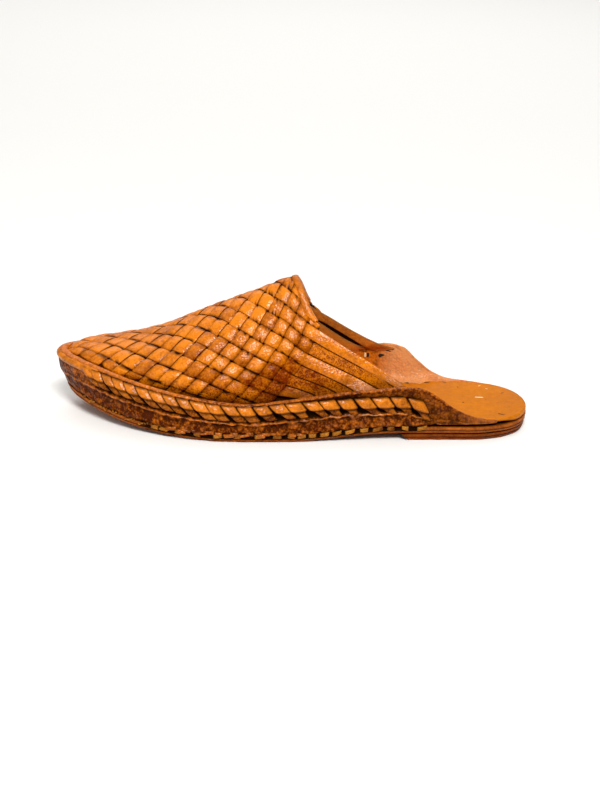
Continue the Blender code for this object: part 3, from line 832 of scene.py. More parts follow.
def wall_place(u, v):
    """Closed section of the side wall swept from one end of the heel round the toe to the other."""
    start = run_at(TAIL_END, -1)
    run = start + u * (run_at(TAIL_END, 1) - start)
    row = section_row(WALL_SECTION, v)
    side = np.sign(run)
    station = round_outline(outline[:, 0], run)
    foot = seat_height(ring_point(run, WALL_FOOT_INSET)[0])
    lip = lip_height(station, side)
    slim = ease(lip - foot, *SLIM_TALL)
    tail = ease(station, TAIL_START, TAIL_END)
    lace_end = np.where(side < 0, LACE_END_OUTER, LACE_END_INNER)
    behind = np.maximum(ease(station - lace_end, *LACE_PLAIN), ease(station - LINK_FIRST, *ROLL_PLAIN))
    height, lace = wall_height(row, station, side, foot, lip, slim)
    roomy = ease(lip - lace, *ROOMY) * ((row == LIP_ROW) | (row == LIP_ROW + 1))
    inset = wall_inset(row, station, behind, roomy, tail)
    level = np.clip((height - foot) / (lip - foot), 0, 1)
    station, across = ring_point(run, inset, level)
    points = np.stack([station, across, height], axis=1)
    lump = lumps(points, WALL_LUMP_SIZE, seed=11.0)
    pebble = lumps(points, WALL_PEBBLE_SIZE, seed=31.0)
    outside = (row > 1) & (row < LIP_ROW)
    calm = 1 - EAR_CALM * ease(station, *EAR_IN) - TOE_CALM * fade(station, TOE_CALM_END)
    swell = np.where(outside, 1.0, INSIDE_SWELL) * ((row > 0) & (row < len(WALL_SECTION) - 1))
    swell = swell * calm * (WALL_LUMP * lump + WALL_PEBBLE * pebble)
    crease = crease_depth(station, height, side) * ((row >= FLAP_ROW) & (row < CREASE_END_ROW))
    crease = np.where(row >= INNER_ROW, -crease, crease)
    station, across = ring_point(run, inset + (crease - swell) * slim, level)
    # Crests of the lumps lighter and troughs darker: rubbed wear, with a painted highlight on the crests and
    # painted shade in the troughs
    crest_wear_and_light = (LUMP_FLECK * lump + PEBBLE_FLECK * pebble) * outside * calm
    return (station, across, height), wall_paint(row, station, side, points, crest_wear_and_light, behind, roomy, tail)


side_wall = lay_sheet("side_wall", WALL_COLUMNS, len(WALL_SECTION) - 1, wall_place)
cap_ends()
finish_sheet(side_wall, smooth=1, closed=True)

# Oiled hide rubbed by hand: reddish brown and blotchy, rough below, burnished to a pink shine on the lip
wall_leather = leather("wall_hide_oiled", light="#CA6A10", dark="#461804", stain_and_shade="#0C0401", rough=0.42,
                       coat=0.55, patch=7.0, grain=1.4, relief=1.0, flecks_and_glints=0.2)
dress(side_wall, wall_leather, "wall_leather", "rand")


# Lace: one flat thong wound through holes in the wall in slanted links that overlap like scales. Each link
# is creased along its middle, and round the front of the toe the thong runs plain, as a roll under the lip.
WALL_TOP_INSET = 1.9
BRAID_HALF = 4.6
BRAID_SHARE = 0.3
LACE_SUNK = 0.5
LINK_PITCH = 9.2
LINK_FORE = 0.82
LINK_SLANT = 8.8
LINK_SLANT_UNEVEN = 1.5
LINK_REACH = 1.1
LINK_THICK = 1.5
LINK_STRETCH = 0.9
LINK_STRETCH_IN = (150.0, 190.0)
LINK_LAP = 1.1
LINK_UNEVEN = 0.1
LINK_WAIST = (0.42, 0.72)
LINK_NARROW = 0.2
LINK_OPEN = 0.3
OPEN_IN = (120.0, 146.0)
LINK_CROWN = 1.3
LINK_SINK = 0.3
LINK_TILT = 1.2
LINK_PROUD_UNEVEN = 0.35
LINK_RIM = (0.38, 9.0, 0.95)
LINK_TONE = 0.85
LINK_FOLD = (0.45, 0.55)
LINK_FOLD_SHADE = 0.4
LINK_TONE_UNEVEN = 0.18
OPEN_DARK = 0.1
LINK_PORES = 0.35
LINK_ROWS = 6
LINK_SEED = 7
ROLL_LAP = 7.0
ROLL_TOP = 0.98
ROLL_TALL = 0.62
ROLL_SINK = 0.7
ROLL_CROWN = 1.9
ROLL_TOE_OUT = 1.1
ROLL_LOW_DARK = 0.2
ROLL_ROUND = 0.6
ROLL_RIM = (0.4, 6.0, 1.0)
ROLL_COLUMNS = 60
ROLL_ROWS = 8

# Section of a link from its top hole to its lower one: height share of the half band, how far it stands
# out, dark edge (painted shade at both ends, where the link goes into the holes, and along its crease)
LINK_SECTION = (
    (1.16, -0.6, 1.0),
    (1.08, 0.9, 0.6),
    (0.92, 1.8, 0.0),
    (0.52, 2.5, 0.0),
    (0.18, 2.95, 0.0),
    (0.04, 2.7, 0.5),
    (-0.08, 2.15, 0.6),
    (-0.36, 2.25, 0.0),
    (-0.78, 1.6, 0.0),
    (-1.00, 0.6, 0.5),
    (-1.08, -0.9, 1.0),
)


def lace_point(run, share, out):
    """Point of the lace band: share 1 is its top and -1 its foot, out is the way it stands off the wall."""
    station = round_outline(outline[:, 0], run)
    side = np.sign(run)
    foot = seat_height(ring_point(run, WALL_FOOT_INSET)[0])
    tall = lip_height(station, side) - foot
    half = np.minimum(BRAID_HALF, BRAID_SHARE * tall)
    half = half + LINK_STRETCH * (share > 0) * ease(station, *LINK_STRETCH_IN)
    height = lace_height(station) + share * half
    level = np.clip((height - foot) / tall, 0, 1)
    inset = WALL_FOOT_INSET + (WALL_TOP_INSET - WALL_FOOT_INSET) * level - out + LACE_SUNK
    station, across = ring_point(run, inset, level)
    return station, across, height


def rim_dark(off, rim, steep, most):
    """Dark line along both edges of a strip; off is the way from its middle."""
    return np.clip(steep * (np.abs(off) - rim), 0, most)


def link_place(middle, pitch, side, draw):
    """Place function of one link round its middle run; draw gives its own small unevenness."""
    def place(u, v):
        share, out, dark = section_at(LINK_SECTION, u)
        station = round_outline(outline[:, 0], np.full_like(u, side * middle))
        opened = ease(station, *OPEN_IN)
        wide = LINK_LAP - (LINK_NARROW + LINK_OPEN * opened) * ease(u, *LINK_WAIST)
        wide = pitch * wide * (1 + LINK_UNEVEN * draw[0])
        turn = (v if side < 0 else 1 - v) - 0.5
        slant = (LINK_SLANT + LINK_SLANT_UNEVEN * draw[1]) * (0.5 - 0.5 * share / LINK_REACH)
        run = middle + slant - 0.5 * LINK_SLANT + turn * wide
        out = out + LINK_CROWN * (1 - 4 * turn * turn) - LINK_SINK - LINK_TILT * turn
        out = out + LINK_PROUD_UNEVEN * draw[2]
        # Painted shade along both edges of a link, between it and its neighbours, and on its lower facet
        edge = np.clip(rim_dark(turn, *LINK_RIM) + dark, 0, 1)
        tone = LINK_TONE - LINK_FOLD_SHADE * ease(u, *LINK_FOLD)
        tone = tone + LINK_TONE_UNEVEN * draw[0] - OPEN_DARK * opened
        paint = {"edge": edge, "tone": tone, "speckle": LINK_PORES * (u > 0.5)}
        return lace_point(side * run, share, out), paint
    return place


draws = np.random.default_rng(LINK_SEED)
links = []
for side, last in ((-1, LACE_END_OUTER), (1, LACE_END_INNER)):
    first_run = abs(float(run_at(LINK_FIRST, side)))
    last_run = abs(float(run_at(last, side)))
    count = round((last_run - first_run) / LINK_PITCH)
    for index in range(count):
        share = (index + 0.5) / count
        middle = first_run + (last_run - first_run) * share * (LINK_FORE + (1 - LINK_FORE) * share)
        pitch = (last_run - first_run) / count * (LINK_FORE + 2 * (1 - LINK_FORE) * share)
        link = link_place(middle, pitch, side, draws.uniform(-1, 1, 3))
        links.append(lay_sheet("link", len(LINK_SECTION) - 1, LINK_ROWS, link))


def toe_roll_place(u, v):
    """Plain stretch of the lace round the front of the toe."""
    start, end = (float(run_at(LINK_FIRST + ROLL_LAP, side)) for side in (-1, 1))
    run = start + u * (end - start)
    station = round_outline(outline[:, 0], run)
    out = ROLL_CROWN * np.sin(math.pi * np.clip(v, 0, 1)) ** ROLL_ROUND - ROLL_SINK
    out = out + ROLL_TOE_OUT * fade(station, TOE_BULGE_END)
    tone = LINK_TONE - ROLL_LOW_DARK * (1 - v)
    paint = {"edge": rim_dark(v - 0.5, *ROLL_RIM), "tone": tone, "speckle": 0.0}
    return lace_point(run, ROLL_TOP - ROLL_TALL * (1 - v), out), paint


links.append(lay_sheet("toe_roll", ROLL_COLUMNS, ROLL_ROWS, toe_roll_place))
lace = join_sheets("lace_links", links)
finish_sheet(lace, thick=LINK_THICK, smooth=1)

# Thong cut from firm tan hide: lighter on its upper facets, with painted shade on its lower facets, between
# the links and where it goes into the holes
lace_leather = leather("lace_thong_waxed", light="#D07414", dark="#501E04", stain_and_shade="#0A0301", rough=0.44,
                       coat=0.36, patch=8.0, grain=1.2, relief=0.5, flecks_and_glints=0.2)
dress(lace, lace_leather, "lace_leather", "braid")


# Woven vamp: two families of flat leather strips cross in a plain weave over the last. Behind the weave
# only the strips that run back and down go on, as a fan of loose straps that is caught under the lip.
UPPER_INSET = 6.4
UPPER_SPRING_DROP = 2.5
RIDGE_ROUND = 4.0
TOE_WIDEN = 14.0
TOE_WIDEN_END = 60.0
GIRTH_REACH = 140.0
TABLE_STEP = 1.0
TABLE_FIRST = -8.0
TABLE_LAST = 232.0
TABLE_SAMPLES = 120
TABLE_POWER = 1.6
ROW_START = -5.1
ROW_PITCH = 8.48
ROW_CLOSER = 0.0943
SIDE_LEAD = 1.82
SIDE_LEAD_BY_ROW = 0.1534
SIDE_SWING = 0.0354
GIRTH_START = 7.8
GIRTH_BY_ROW = 0.5
GIRTH_PITCH = 5.9
GIRTH_WIDER = 0.063
GIRTH_CLOSER = 0.0835
STRIP_THICK = 1.3
STRIP_WAVE = 0.85
STRIP_CROWN = 0.35
STRIP_LEAN = 0.16
TOE_SINK = 0.9
STRIP_TUCK = 3.2
STRAP_FROM = 15.0
STRAP_CELLS = 6.0
STRAP_TOP = {"back": 9.0, "forward": 7.0}
STRAP_SAG = -0.5
FAR_SHORT = 9.0
STRAP_DIVE = 2.4
STRAP_DIVE_IN = (0.65, 1.0)
# The inner straps get a high tone as painted light, for they lie in the shade of the outer side
FAR_STRAP_TONE = 1.0
FAR_INSIDE = 2.8
FAR_INSIDE_OUT = (164.0, 148.0)
FAR_DIVE = 3.2
FAR_DIVE_IN = (0.8, 1.0)
FAR_RIM = (0.42, 8.0, 0.5)
# A pale mix on the inner straps, also painted light
FAR_PAINTED_LIGHT = 0.1
FAR_COLUMNS = 60
STRAP_HALF = 0.498
FAR_STRAP_HALF = 0.52
ROUGH_STRAPS = (7, 5, 4)
STRAP_TONES = (0.4, 0.4, 0.4, 0.4, 0.42, 0.4, 0.68, 0.58, 0.78)
ROWS_PER_CELL = 5
BAND_LOW_OUTER = 62.0
BAND_LOW_INNER = 69.0
BAND_COLUMNS = 90
BAND_SINK = 0.7
BAND_REACH = (4.5, 2.0)
BAND_SOFT = 9
BAND_SPARE = 2.0
BAND_FLAT = 0.8
THROAT_ROUNDS = 5
THROAT_TOP = 84.8
THROAT_SAMPLES = 60
TOPLINE_SAMPLES = 600
SPAN_FIRST = -9.0
SPAN_STEP = 0.04
TOE_ROOM = 5.0
SIDE_ROOM = 4.6
STRIP_NUMBERS = range(-3, 15)
STRIP_LINES = 9
STRIP_LINES_BETWEEN = (0.02, 0.98)
STRIP_ENDS_HALF = 0.48
STRIP_LEAST = 4
STRIP_ACROSS = 6
WOVEN_HALF = 0.468
OVER_WIDER = 0.026
LOOSE_IN = (-0.4, 0.4)
LOOSE_WAVE = 0.25
LOOSE_FLAT = 0.5
RIM_DROP = 0.25
TOE_SINK_IN = (10.5, 6.5)
TOE_SINK_OUT = (45.0, 20.0)
WOVEN_RIM = (0.87, 6.0, 0.8)
LOOSE_RIM_FADE = 0.3
FAR_RIM_LEFT = 0.4
CRESCENT_SHADOW = 0.9
CRESCENT_UNDER = (0.86, 0.66)
CRESCENT_AT = (0.6, 0.8)
UNDER_SHADE = (0.46, 0.1)
FOOT_DARK = 0.4
FOOT_DARK_IN = (0.84, 1.02)
TOE_RIM_FADE = 0.55
TOE_RIM_FADE_OUT = (34.0, 20.0)
CELL_TONE = 0.8
CELL_TONES = 64
CELLS_BEFORE = 12
CELL_UNEVEN = 0.28
CELL_CROWN_LIGHT = 0.32
CELL_UNDER_SHADE = 0.28
LOW_DARK = 0.36
LOW_DARK_POWER = 1.3
REAR_CELLS_IN = (70.0, 130.0)
REAR_DARK = 0.08
REAR_LOW_DARK = 0.5
REAR_LOW_IN = (0.42, 0.78)
DARKEST_CELL = 0.22
STRAP_TONE = 0.6
STRAP_LIGHTER = 0.15
PORES_LOW_IN = (0.78, 0.9)

# Arched vamp: station, ridge height, fullness of the arch, sideways place of the ridge
VAMP = (
    (-6.0, 28.0, 2.10, 6.4),
    (6.0, 35.2, 2.10, 5.8),
    (12.0, 37.8, 2.10, 5.2),
    (20.0, 39.6, 2.08, 4.7),
    (32.0, 41.8, 2.06, 4.0),
    (46.0, 44.5, 2.02, 3.4),
    (60.0, 48.6, 1.95, 2.8),
    (74.0, 55.0, 1.82, 2.4),
    (88.0, 62.1, 1.66, 2.1),
    (104.0, 69.5, 1.46, 2.0),
    (120.0, 76.6, 1.30, 2.0),
    (130.0, 81.6, 1.22, 2.0),
    (137.0, 84.4, 1.18, 2.0),
    (143.0, 85.6, 1.15, 2.0),
    (176.0, 100.0, 1.08, 1.0),
    (230.0, 116.0, 1.06, 0.0),
)

# Cut edge of the throat and the straps: station, height, fall towards the inner side
TOPLINE = (
    (134.0, 89.0, 0.00),
    (138.5, 86.6, 0.06),
    (141.6, 84.4, 0.14),
    (143.8, 80.6, 0.20),
    (146.2, 74.4, 0.20),
    (151.4, 64.6, 0.16),
    (159.2, 57.6, 0.12),
    (170.0, 50.8, 0.09),
    (182.0, 44.0, 0.08),
    (194.0, 37.4, 0.08),
    (207.0, 31.2, 0.06),
)

# Where the edges of the straps go under the lip: number of the edge, station
STRAP_ENDS = (
    (2.0, 138.0),
    (3.0, 148.3),
    (4.0, 158.5),
    (5.0, 171.0),
    (6.0, 180.8),
    (7.0, 194.3),
    (8.0, 203.7),
    (9.0, 211.0),
)


def vamp_across(station, height, side):
    """Place across of the vamp's outer face at a height on one side."""
    column = 1 if side < 0 else 2
    widened = station + TOE_WIDEN * fade(station, TOE_WIDEN_END)
    bend = TOE_BEND * fade(np.clip(station, 0, None), TOE_BEND_END)
    edge = side * (half_width(widened, column) - UPPER_INSET) + bend
    foot = lip_height(station, side) - UPPER_SPRING_DROP
    ridge = read_table(VAMP, 1, station)
    power = read_table(VAMP, 2, station)
    middle = read_table(VAMP, 3, station)
    share = np.clip((height - foot) / (ridge - foot), 0, 1)
    width = np.abs(edge - middle)
    reach = width * (1 - share ** power) ** (1 / power)
    full = np.sqrt((width + RIDGE_ROUND) ** 2 - RIDGE_ROUND ** 2)
    return middle + (edge - middle) * np.sqrt((reach + RIDGE_ROUND) ** 2 - RIDGE_ROUND ** 2) / full


def girth_table(side):
    """Place across and height of the vamp by station and by the girth from its ridge."""
    rows = []
    girth = np.arange(0, GIRTH_REACH, TABLE_STEP)
    fall = np.sin(np.linspace(math.pi / 2, 0, TABLE_SAMPLES)) ** TABLE_POWER
    for station in np.arange(TABLE_FIRST, TABLE_LAST, TABLE_STEP):
        foot = float(lip_height(station, side)) - UPPER_SPRING_DROP
        ridge = float(read_table(VAMP, 1, station))
        height = foot + (ridge - foot) * fall
        across = vamp_across(np.full_like(height, station), height, side)
        across = np.append(across, across[-1])
        height = np.append(height, foot - GIRTH_REACH)
        run = np.concatenate([[0], np.cumsum(np.hypot(np.diff(across), np.diff(height)))])
        rows.append(np.stack([np.interp(girth, run, across), np.interp(girth, run, height)], axis=1))
    return np.array(rows)


GIRTH_TABLES = np.array([girth_table(-1), girth_table(1)])


def vamp(station, girth):
    """Point of the vamp's outer face; girth runs from the ridge, above 0 on the outer side."""
    side = (girth < 0).astype(int)
    row = np.clip((station - TABLE_FIRST) / TABLE_STEP, 0, GIRTH_TABLES.shape[1] - 1.001)
    column = np.clip(np.abs(girth) / TABLE_STEP, 0, GIRTH_TABLES.shape[2] - 1.001)
    low_row = row.astype(int)
    low_column = column.astype(int)
    part_row = (row - low_row)[..., None]
    part_column = (column - low_column)[..., None]
    low = (GIRTH_TABLES[side, low_row, low_column] * (1 - part_column)
           + GIRTH_TABLES[side, low_row, low_column + 1] * part_column)
    high = (GIRTH_TABLES[side, low_row + 1, low_column] * (1 - part_column)
            + GIRTH_TABLES[side, low_row + 1, low_column + 1] * part_column)
    flat = low * (1 - part_row) + high * part_row
    return np.stack([station, flat[..., 0], flat[..., 1]], axis=-1)


def weave_girth(first, second):
    """Station and girth of a crossing: one family counts along first and the other along second.

    The rows draw closer towards the throat and the strips lean over the sides, as they lie on the shoe.
    """
    row = first + second
    down = second - first
    off = np.sqrt(down * down + 1) - 1
    station = ROW_START + ROW_PITCH * row - ROW_CLOSER * row * row
    station = station + off * (SIDE_LEAD_BY_ROW * row - SIDE_LEAD) + SIDE_SWING * down * down
    girth = GIRTH_START - GIRTH_BY_ROW * row + GIRTH_PITCH * down
    girth = girth + GIRTH_WIDER * row * down - GIRTH_CLOSER * down * np.abs(down)
    return station, girth


def weave_point(first, second):
    """Point of the weave."""
    return vamp(*weave_girth(first, second))


def strap_point(lateral, step, side):
    """Point of a loose strap: straight from the end of the weave to the lip, with a slight sag."""
    last = np.full_like(lateral, STRAP_FROM)
    start = weave_point(lateral, last) if side < 0 else weave_point(last, lateral)
    end_station = read_table(STRAP_ENDS, 1, lateral) - FAR_SHORT * (side > 0)
    end_height = lip_height(end_station, side) - STRIP_TUCK
    share = np.clip((step - STRAP_FROM) / STRAP_CELLS, 0, 1)
    station = start[..., 0] + (end_station - start[..., 0]) * share
    height = start[..., 2] + (end_height - start[..., 2]) * share - STRAP_SAG * 4 * share * (1 - share)
    across = vamp_across(station, height, side) + side * STRAP_DIVE * ease(share, *STRAP_DIVE_IN)
    return np.stack([station, across, height], axis=-1)


def strip_point(lateral, step, family):
    """Point of a strip: lateral counts across its family, step along it."""
    side = -1 if family == "back" else 1
    first, second = (lateral, step) if family == "back" else (step, lateral)
    woven = weave_point(first, second)
    loose = strap_point(lateral, step, side)
    is_loose = (step > STRAP_FROM) & (step > lateral)
    return np.where(is_loose[..., None], loose, woven)


def cut_height(station, across):
    """Height of the cut edge of the throat."""
    return read_table(TOPLINE, 1, station) - read_table(TOPLINE, 2, station) * across


def girth_at(station, height, side):
    """Girth from the ridge at which the vamp has a height."""
    table = GIRTH_TABLES[0 if side < 0 else 1]
    girths = np.arange(0, GIRTH_REACH, TABLE_STEP)
    found = np.empty_like(station)
    for k, (place, level) in enumerate(zip(station, height)):
        row = table[int(round((place - TABLE_FIRST) / TABLE_STEP)), :, 1]
        found[k] = np.interp(-level, -row, girths)
    return found


def vamp_normal(station, girth):
    """Outward normal of the vamp."""
    small = 0.5
    ahead = vamp(station + small, girth) - vamp(station - small, girth)
    aside = vamp(station, girth + small) - vamp(station, girth - small)
    normal = np.cross(ahead, -aside)
    return normal / np.linalg.norm(normal, axis=-1)[..., None]


def throat_path():
    """Stations and girths along the cut of the throat, from the outer side over the peak to the inner."""
    dense = np.linspace(TOPLINE[0][0], TOPLINE[-1][0], TOPLINE_SAMPLES)
    levels = read_table(TOPLINE, 1, dense)
    stations = []
    girths = []
    for side, low in ((-1, BAND_LOW_OUTER), (1, BAND_LOW_INNER)):
        level = np.linspace(low, THROAT_TOP, THROAT_SAMPLES)
        station = np.interp(-level, -levels, dense)
        height = level
        for _ in range(THROAT_ROUNDS):
            across = vamp_across(station, height, side)
            height = level - read_table(TOPLINE, 2, station) * across
        girth = -side * girth_at(station, height, side)
        order = slice(None) if side < 0 else slice(None, None, -1)
        stations.append(station[order])
        girths.append(girth[order])
    stations = np.concatenate(stations)
    girths = np.concatenate(girths)
    run = np.concatenate([[0], np.cumsum(np.hypot(np.diff(stations), np.diff(girths)))])
    even = np.linspace(0, run[-1], BAND_COLUMNS + 1)
    soft = np.hanning(BAND_SOFT) / np.hanning(BAND_SOFT).sum()
    return [np.convolve(np.pad(np.interp(even, run, values), BAND_SOFT // 2, mode="edge"), soft, mode="valid")
            for values in (stations, girths)]


band_station, band_girth = throat_path()


def strip_span(lateral, family):
    """First and last step of a strip along one of its lines, from lip to lip or from lip to throat."""
    steps = np.arange(SPAN_FIRST, STRAP_FROM + STRAP_CELLS, SPAN_STEP)
    station, across, height = strip_point(np.full_like(steps, lateral), steps, family).T
    side = np.where(across < read_table(VAMP, 3, station), -1, 1)
    bend = TOE_BEND * fade(station, TOE_BEND_END)
    room = np.minimum(half_width(station - TOE_ROOM, 1), half_width(station, 1) - SIDE_ROOM)
    inside = (height > lip_height(station, side) - STRIP_TUCK) & (np.abs(across - bend) < room)
    inside &= (station < TOPLINE[0][0]) | (height < cut_height(station, across))
    loose = steps > STRAP_FROM
    reached = inside[np.argmax(loose) - 1] and lateral < STRAP_TOP[family]
    inside = np.where(loose, reached, inside)
    change = np.flatnonzero(np.diff(np.concatenate([[0], inside.astype(int), [0]])))
    if len(change) == 0:
        return None
    best = 2 * int(np.argmax(change[1::2] - change[0::2]))
    return steps[change[best]], steps[change[best + 1] - 1]


def strip_relief(bow, wave, loose, station, across, girth, to_cut):
    """Height of a strip's surface over the vamp: over and under, crowned, sunk at the toe and the throat."""
    bend = TOE_BEND * fade(np.clip(station, 0, None), TOE_BEND_END)
    rim = np.minimum(half_width(station, 1) - np.abs(across - bend), station)
    sink = TOE_SINK * ease(rim, *TOE_SINK_IN) * ease(station, *TOE_SINK_OUT)
    bound = (girth < band_girth[0] + BAND_SPARE) & (girth > band_girth[-1] - BAND_SPARE)
    bound = bound * ease(to_cut, *BAND_REACH) * (1 - loose)
    raised = STRIP_WAVE * wave + STRIP_CROWN * (1 - bow ** 4) - RIM_DROP * np.abs(bow) ** 6 - sink
    return raised * (1 - LOOSE_FLAT * loose) * (1 - BAND_FLAT * bound) - BAND_SINK * bound


def strip_paint(index, family, bow, over, step, uphill, loose, station, low, tones):
    """Painted layers of a strip: dark rims, both burnished edge and painted shade in the gaps, painted shadow
    where it dives under a crossing strip, a painted highlight on the crown of each cell, cells that differ,
    red brown low down.
    """
    # Dark rims: burnished edges, and painted shade in the gaps between strips
    edge = rim_dark(bow, *WOVEN_RIM) * (1 - LOOSE_RIM_FADE * loose)
    edge = edge * np.where((family == "forward") & (loose > 0.5), FAR_RIM_LEFT, 1.0)
    # Painted shadow: a crescent where the upper end of a forward cell goes under the crossing strip, and
    # shade wherever a strip dives under
    shadow_crescent = CRESCENT_SHADOW * uphill * ease(over, *CRESCENT_UNDER) * ease(step % 1, *CRESCENT_AT)
    edge = edge + shadow_crescent + ease(over, *UNDER_SHADE) + FOOT_DARK * ease(low, *FOOT_DARK_IN)
    edge = np.clip(edge, 0, 1) * (1 - TOE_RIM_FADE * ease(station, *TOE_RIM_FADE_OUT))
    cell = np.clip(np.floor(step).astype(int) + CELLS_BEFORE, 0, CELL_TONES - 1)
    # Painted highlight on the crown of each over cell, painted shade where the strip goes under
    crown_light_and_shade = CELL_CROWN_LIGHT * over * (1 - bow * bow) - CELL_UNDER_SHADE * (1 - over)
    tone = CELL_TONE - LOW_DARK * low ** LOW_DARK_POWER
    tone = tone + (CELL_UNEVEN * tones[cell] + crown_light_and_shade) * (1 - loose)
    rear = ease(station, *REAR_CELLS_IN) * (1 - loose)
    tone = tone - rear * (REAR_DARK + REAR_LOW_DARK * ease(low, *REAR_LOW_IN))
    # Straps of the inner side: a high tone that is painted light for the shade they lie in
    strap_tone = FAR_STRAP_TONE
    if family == "back":
        strap_tone = STRAP_TONES[index] if 0 <= index < len(STRAP_TONES) else STRAP_TONE
    along_strap = np.clip((step - STRAP_FROM) / STRAP_CELLS, 0, 1)
    strap_tone = strap_tone + STRAP_LIGHTER * (along_strap - 0.5)
    tone = np.clip(tone, DARKEST_CELL, 1) * (1 - loose) + loose * strap_tone
    rough = (index in ROUGH_STRAPS) * loose + ease(low, *PORES_LOW_IN) * (1 - loose)
    return {"edge": edge, "tone": tone, "speckle": rough}


def strip_sheet(index, family, draw):
    """One strip of the weave as a sheet, or nothing where it is too short to show."""
    first, last = STRIP_LINES_BETWEEN
    laterals = np.linspace(index + first, index + last, STRIP_LINES)
    spans = [strip_span(lateral, family) for lateral in laterals]
    shown = [k for k, span in enumerate(spans) if span]
    if len(shown) < STRIP_LEAST:
        return None
    spans = np.array([spans[min(shown, key=lambda near: abs(near - k))] for k in range(len(spans))])
    if spans[:, 1].min() < STRAP_FROM:
        spans[:, 1] = np.minimum(spans[:, 1], STRAP_FROM)
    cells = float(np.max(spans[:, 1] - spans[:, 0]))
    sign = 1.0 if family == "back" else -1.0
    parity = sign * (-1.0) ** index
    half = STRAP_HALF if family == "back" else FAR_STRAP_HALF
    tones = draw.uniform(-1, 1, CELL_TONES)

    def place(u, v):
        bow = np.sin(math.pi * ((v if family == "back" else 1 - v) - 0.5))
        flat = index + 0.5 + STRIP_ENDS_HALF * bow
        start = np.interp(flat, laterals, spans[:, 0])
        end = np.interp(flat, laterals, spans[:, 1])
        step = start + u * (end - start)
        uphill = (step < index + 0.5) * (family == "forward")
        lean = STRIP_LEAN * uphill * np.abs(np.cos(math.pi * (step - 0.5)))
        wave = np.cos(math.pi * (step - lean - 0.5))
        wave = parity * np.sign(wave) * np.abs(wave) ** 0.5
        loose = ease(step - STRAP_FROM, *LOOSE_IN) * (index < STRAP_TOP[family])
        wave = wave * (1 - loose) + LOOSE_WAVE * loose
        over = 0.5 + 0.5 * wave
        wide = WOVEN_HALF + OVER_WIDER * over
        lateral = index + 0.5 + bow * (wide + (half - wide) * loose)
        points = strip_point(lateral, step, family)
        small = 0.02
        ahead = strip_point(lateral, step + small, family) - strip_point(lateral, step - small, family)
        aside = strip_point(lateral + small, step, family) - strip_point(lateral - small, step, family)
        normal = np.cross(ahead, aside) * sign
        normal /= np.linalg.norm(normal, axis=1)[:, None]
        station, across, height = points.T
        crossing = (lateral, step) if family == "back" else (step, lateral)
        crossing_station, girth = weave_girth(*crossing)
        to_cut = np.interp(girth, band_girth[::-1], band_station[::-1]) - crossing_station
        raised = strip_relief(bow, wave, loose, station, across, girth, to_cut)
        side = np.where(across < read_table(VAMP, 3, station), -1, 1)
        raised = raised - crease_depth(station, height, side)
        station, across, height = (points + normal * raised[:, None]).T
        low = lip_height(station, side)
        low = np.clip(1 - (height - low) / (read_table(VAMP, 1, station) - low), 0, 1)
        paint = strip_paint(index, family, bow, over, step, uphill, loose, station, low, tones)
        return (station, across, height), paint

    return lay_sheet("strip", max(4, int(round(cells * ROWS_PER_CELL))), STRIP_ACROSS, place)


families = {"back": [], "forward": []}
for family, strips in families.items():
    for index in STRIP_NUMBERS:
        strip = strip_sheet(index, family, draws)
        if strip:
            strips.append(strip)

# Edges of the two upper straps of the inner side, from the throat to the wing: station and height where
# each edge starts, where it ends under the lip, and its sag. Between the second and the third is a slot.
FAR_EDGES = (
    (143.0, 67.6, 202.0, 31.6, 3.8),
    (146.0, 56.9, 189.0, 29.0, 0.0),
    (147.0, 57.5, 185.0, 31.4, 3.2),
    (141.5, 46.0, 177.0, 23.0, 1.0),
)


def far_point(edge, u, v):
    """Point between an edge of the inner straps and the next one; u runs along them."""
    upper = np.array(FAR_EDGES[edge])
    lower = np.array(FAR_EDGES[edge + 1])
    start, high, end, low, sag = (upper + (lower - upper) * v[:, None]).T
    station = start + (end - start) * u
    height = high + (low - high) * u - sag * 4 * u * (1 - u)
    across = vamp_across(station, height, 1) - FAR_INSIDE * ease(station, *FAR_INSIDE_OUT)
    return station, across + FAR_DIVE * ease(u, *FAR_DIVE_IN), height


def far_strap_place(edge, tone, rough):
    """Place function of an upper strap of the inner side."""
    def place(u, v):
        dark = rim_dark(v - 0.5, *FAR_RIM)
        return far_point(edge, u, v), {"edge": dark, "tone": tone, "speckle": rough, "bare": FAR_PAINTED_LIGHT}
    return place


# Upper straps of the inner side: number of their upper edge, tone (raised as painted light, for these straps
# lie in the shade of the outer side), how rough they are
for edge, tone, rough in ((0, 0.85, 0.5), (2, 1.0, 0.0)):
    far_strap = lay_sheet("far_strap", FAR_COLUMNS, STRIP_ACROSS, far_strap_place(edge, tone, rough))
    families["forward"].append(far_strap)

# Strip leather is drum dyed and glazed: amber, lighter on the crowns of the cells where a highlight is
# painted, red brown low down, with a soft shine
woven_leather = leather("strip_leather_glazed", light="#D67604", dark="#601D02", stain_and_shade="#0C0301", rough=0.4,
                        coat=0.5, patch=12.0, grain=1.1, relief=0.55)
woven_strips = {}
for family, strips in families.items():
    woven_strips[family] = join_sheets("strips_" + family, strips)
    finish_sheet(woven_strips[family], thick=STRIP_THICK, smooth=1)
dress(woven_strips["back"], woven_leather, "woven_leather", "upper")
dress(woven_strips["forward"], woven_leather, "woven_leather")


# Lining: a thin dark hide that lies under the weave and under the straps of the outer side. Its dark is also
# painted shade, so that the small openings between strips show no light.
LINING_DEEP = 3.0
LINING_FIRST = 36.0
LINING_LAST_OUTER = 199.0
LINING_LAST_INNER = 145.0
LINING_SAMPLES = 160
LINING_BELOW_CUT = 5.0
LINING_CUT_ACROSS = 14.0
LINING_TUCK = 2.4
LINING_THICK = 0.6
LINING_LEAST = 0.5
LINING_STAIN_AND_SHADE = 0.35
LINING_TONE = 0.3
LINING_ROWS = 24
THROAT_STATION = 141.6


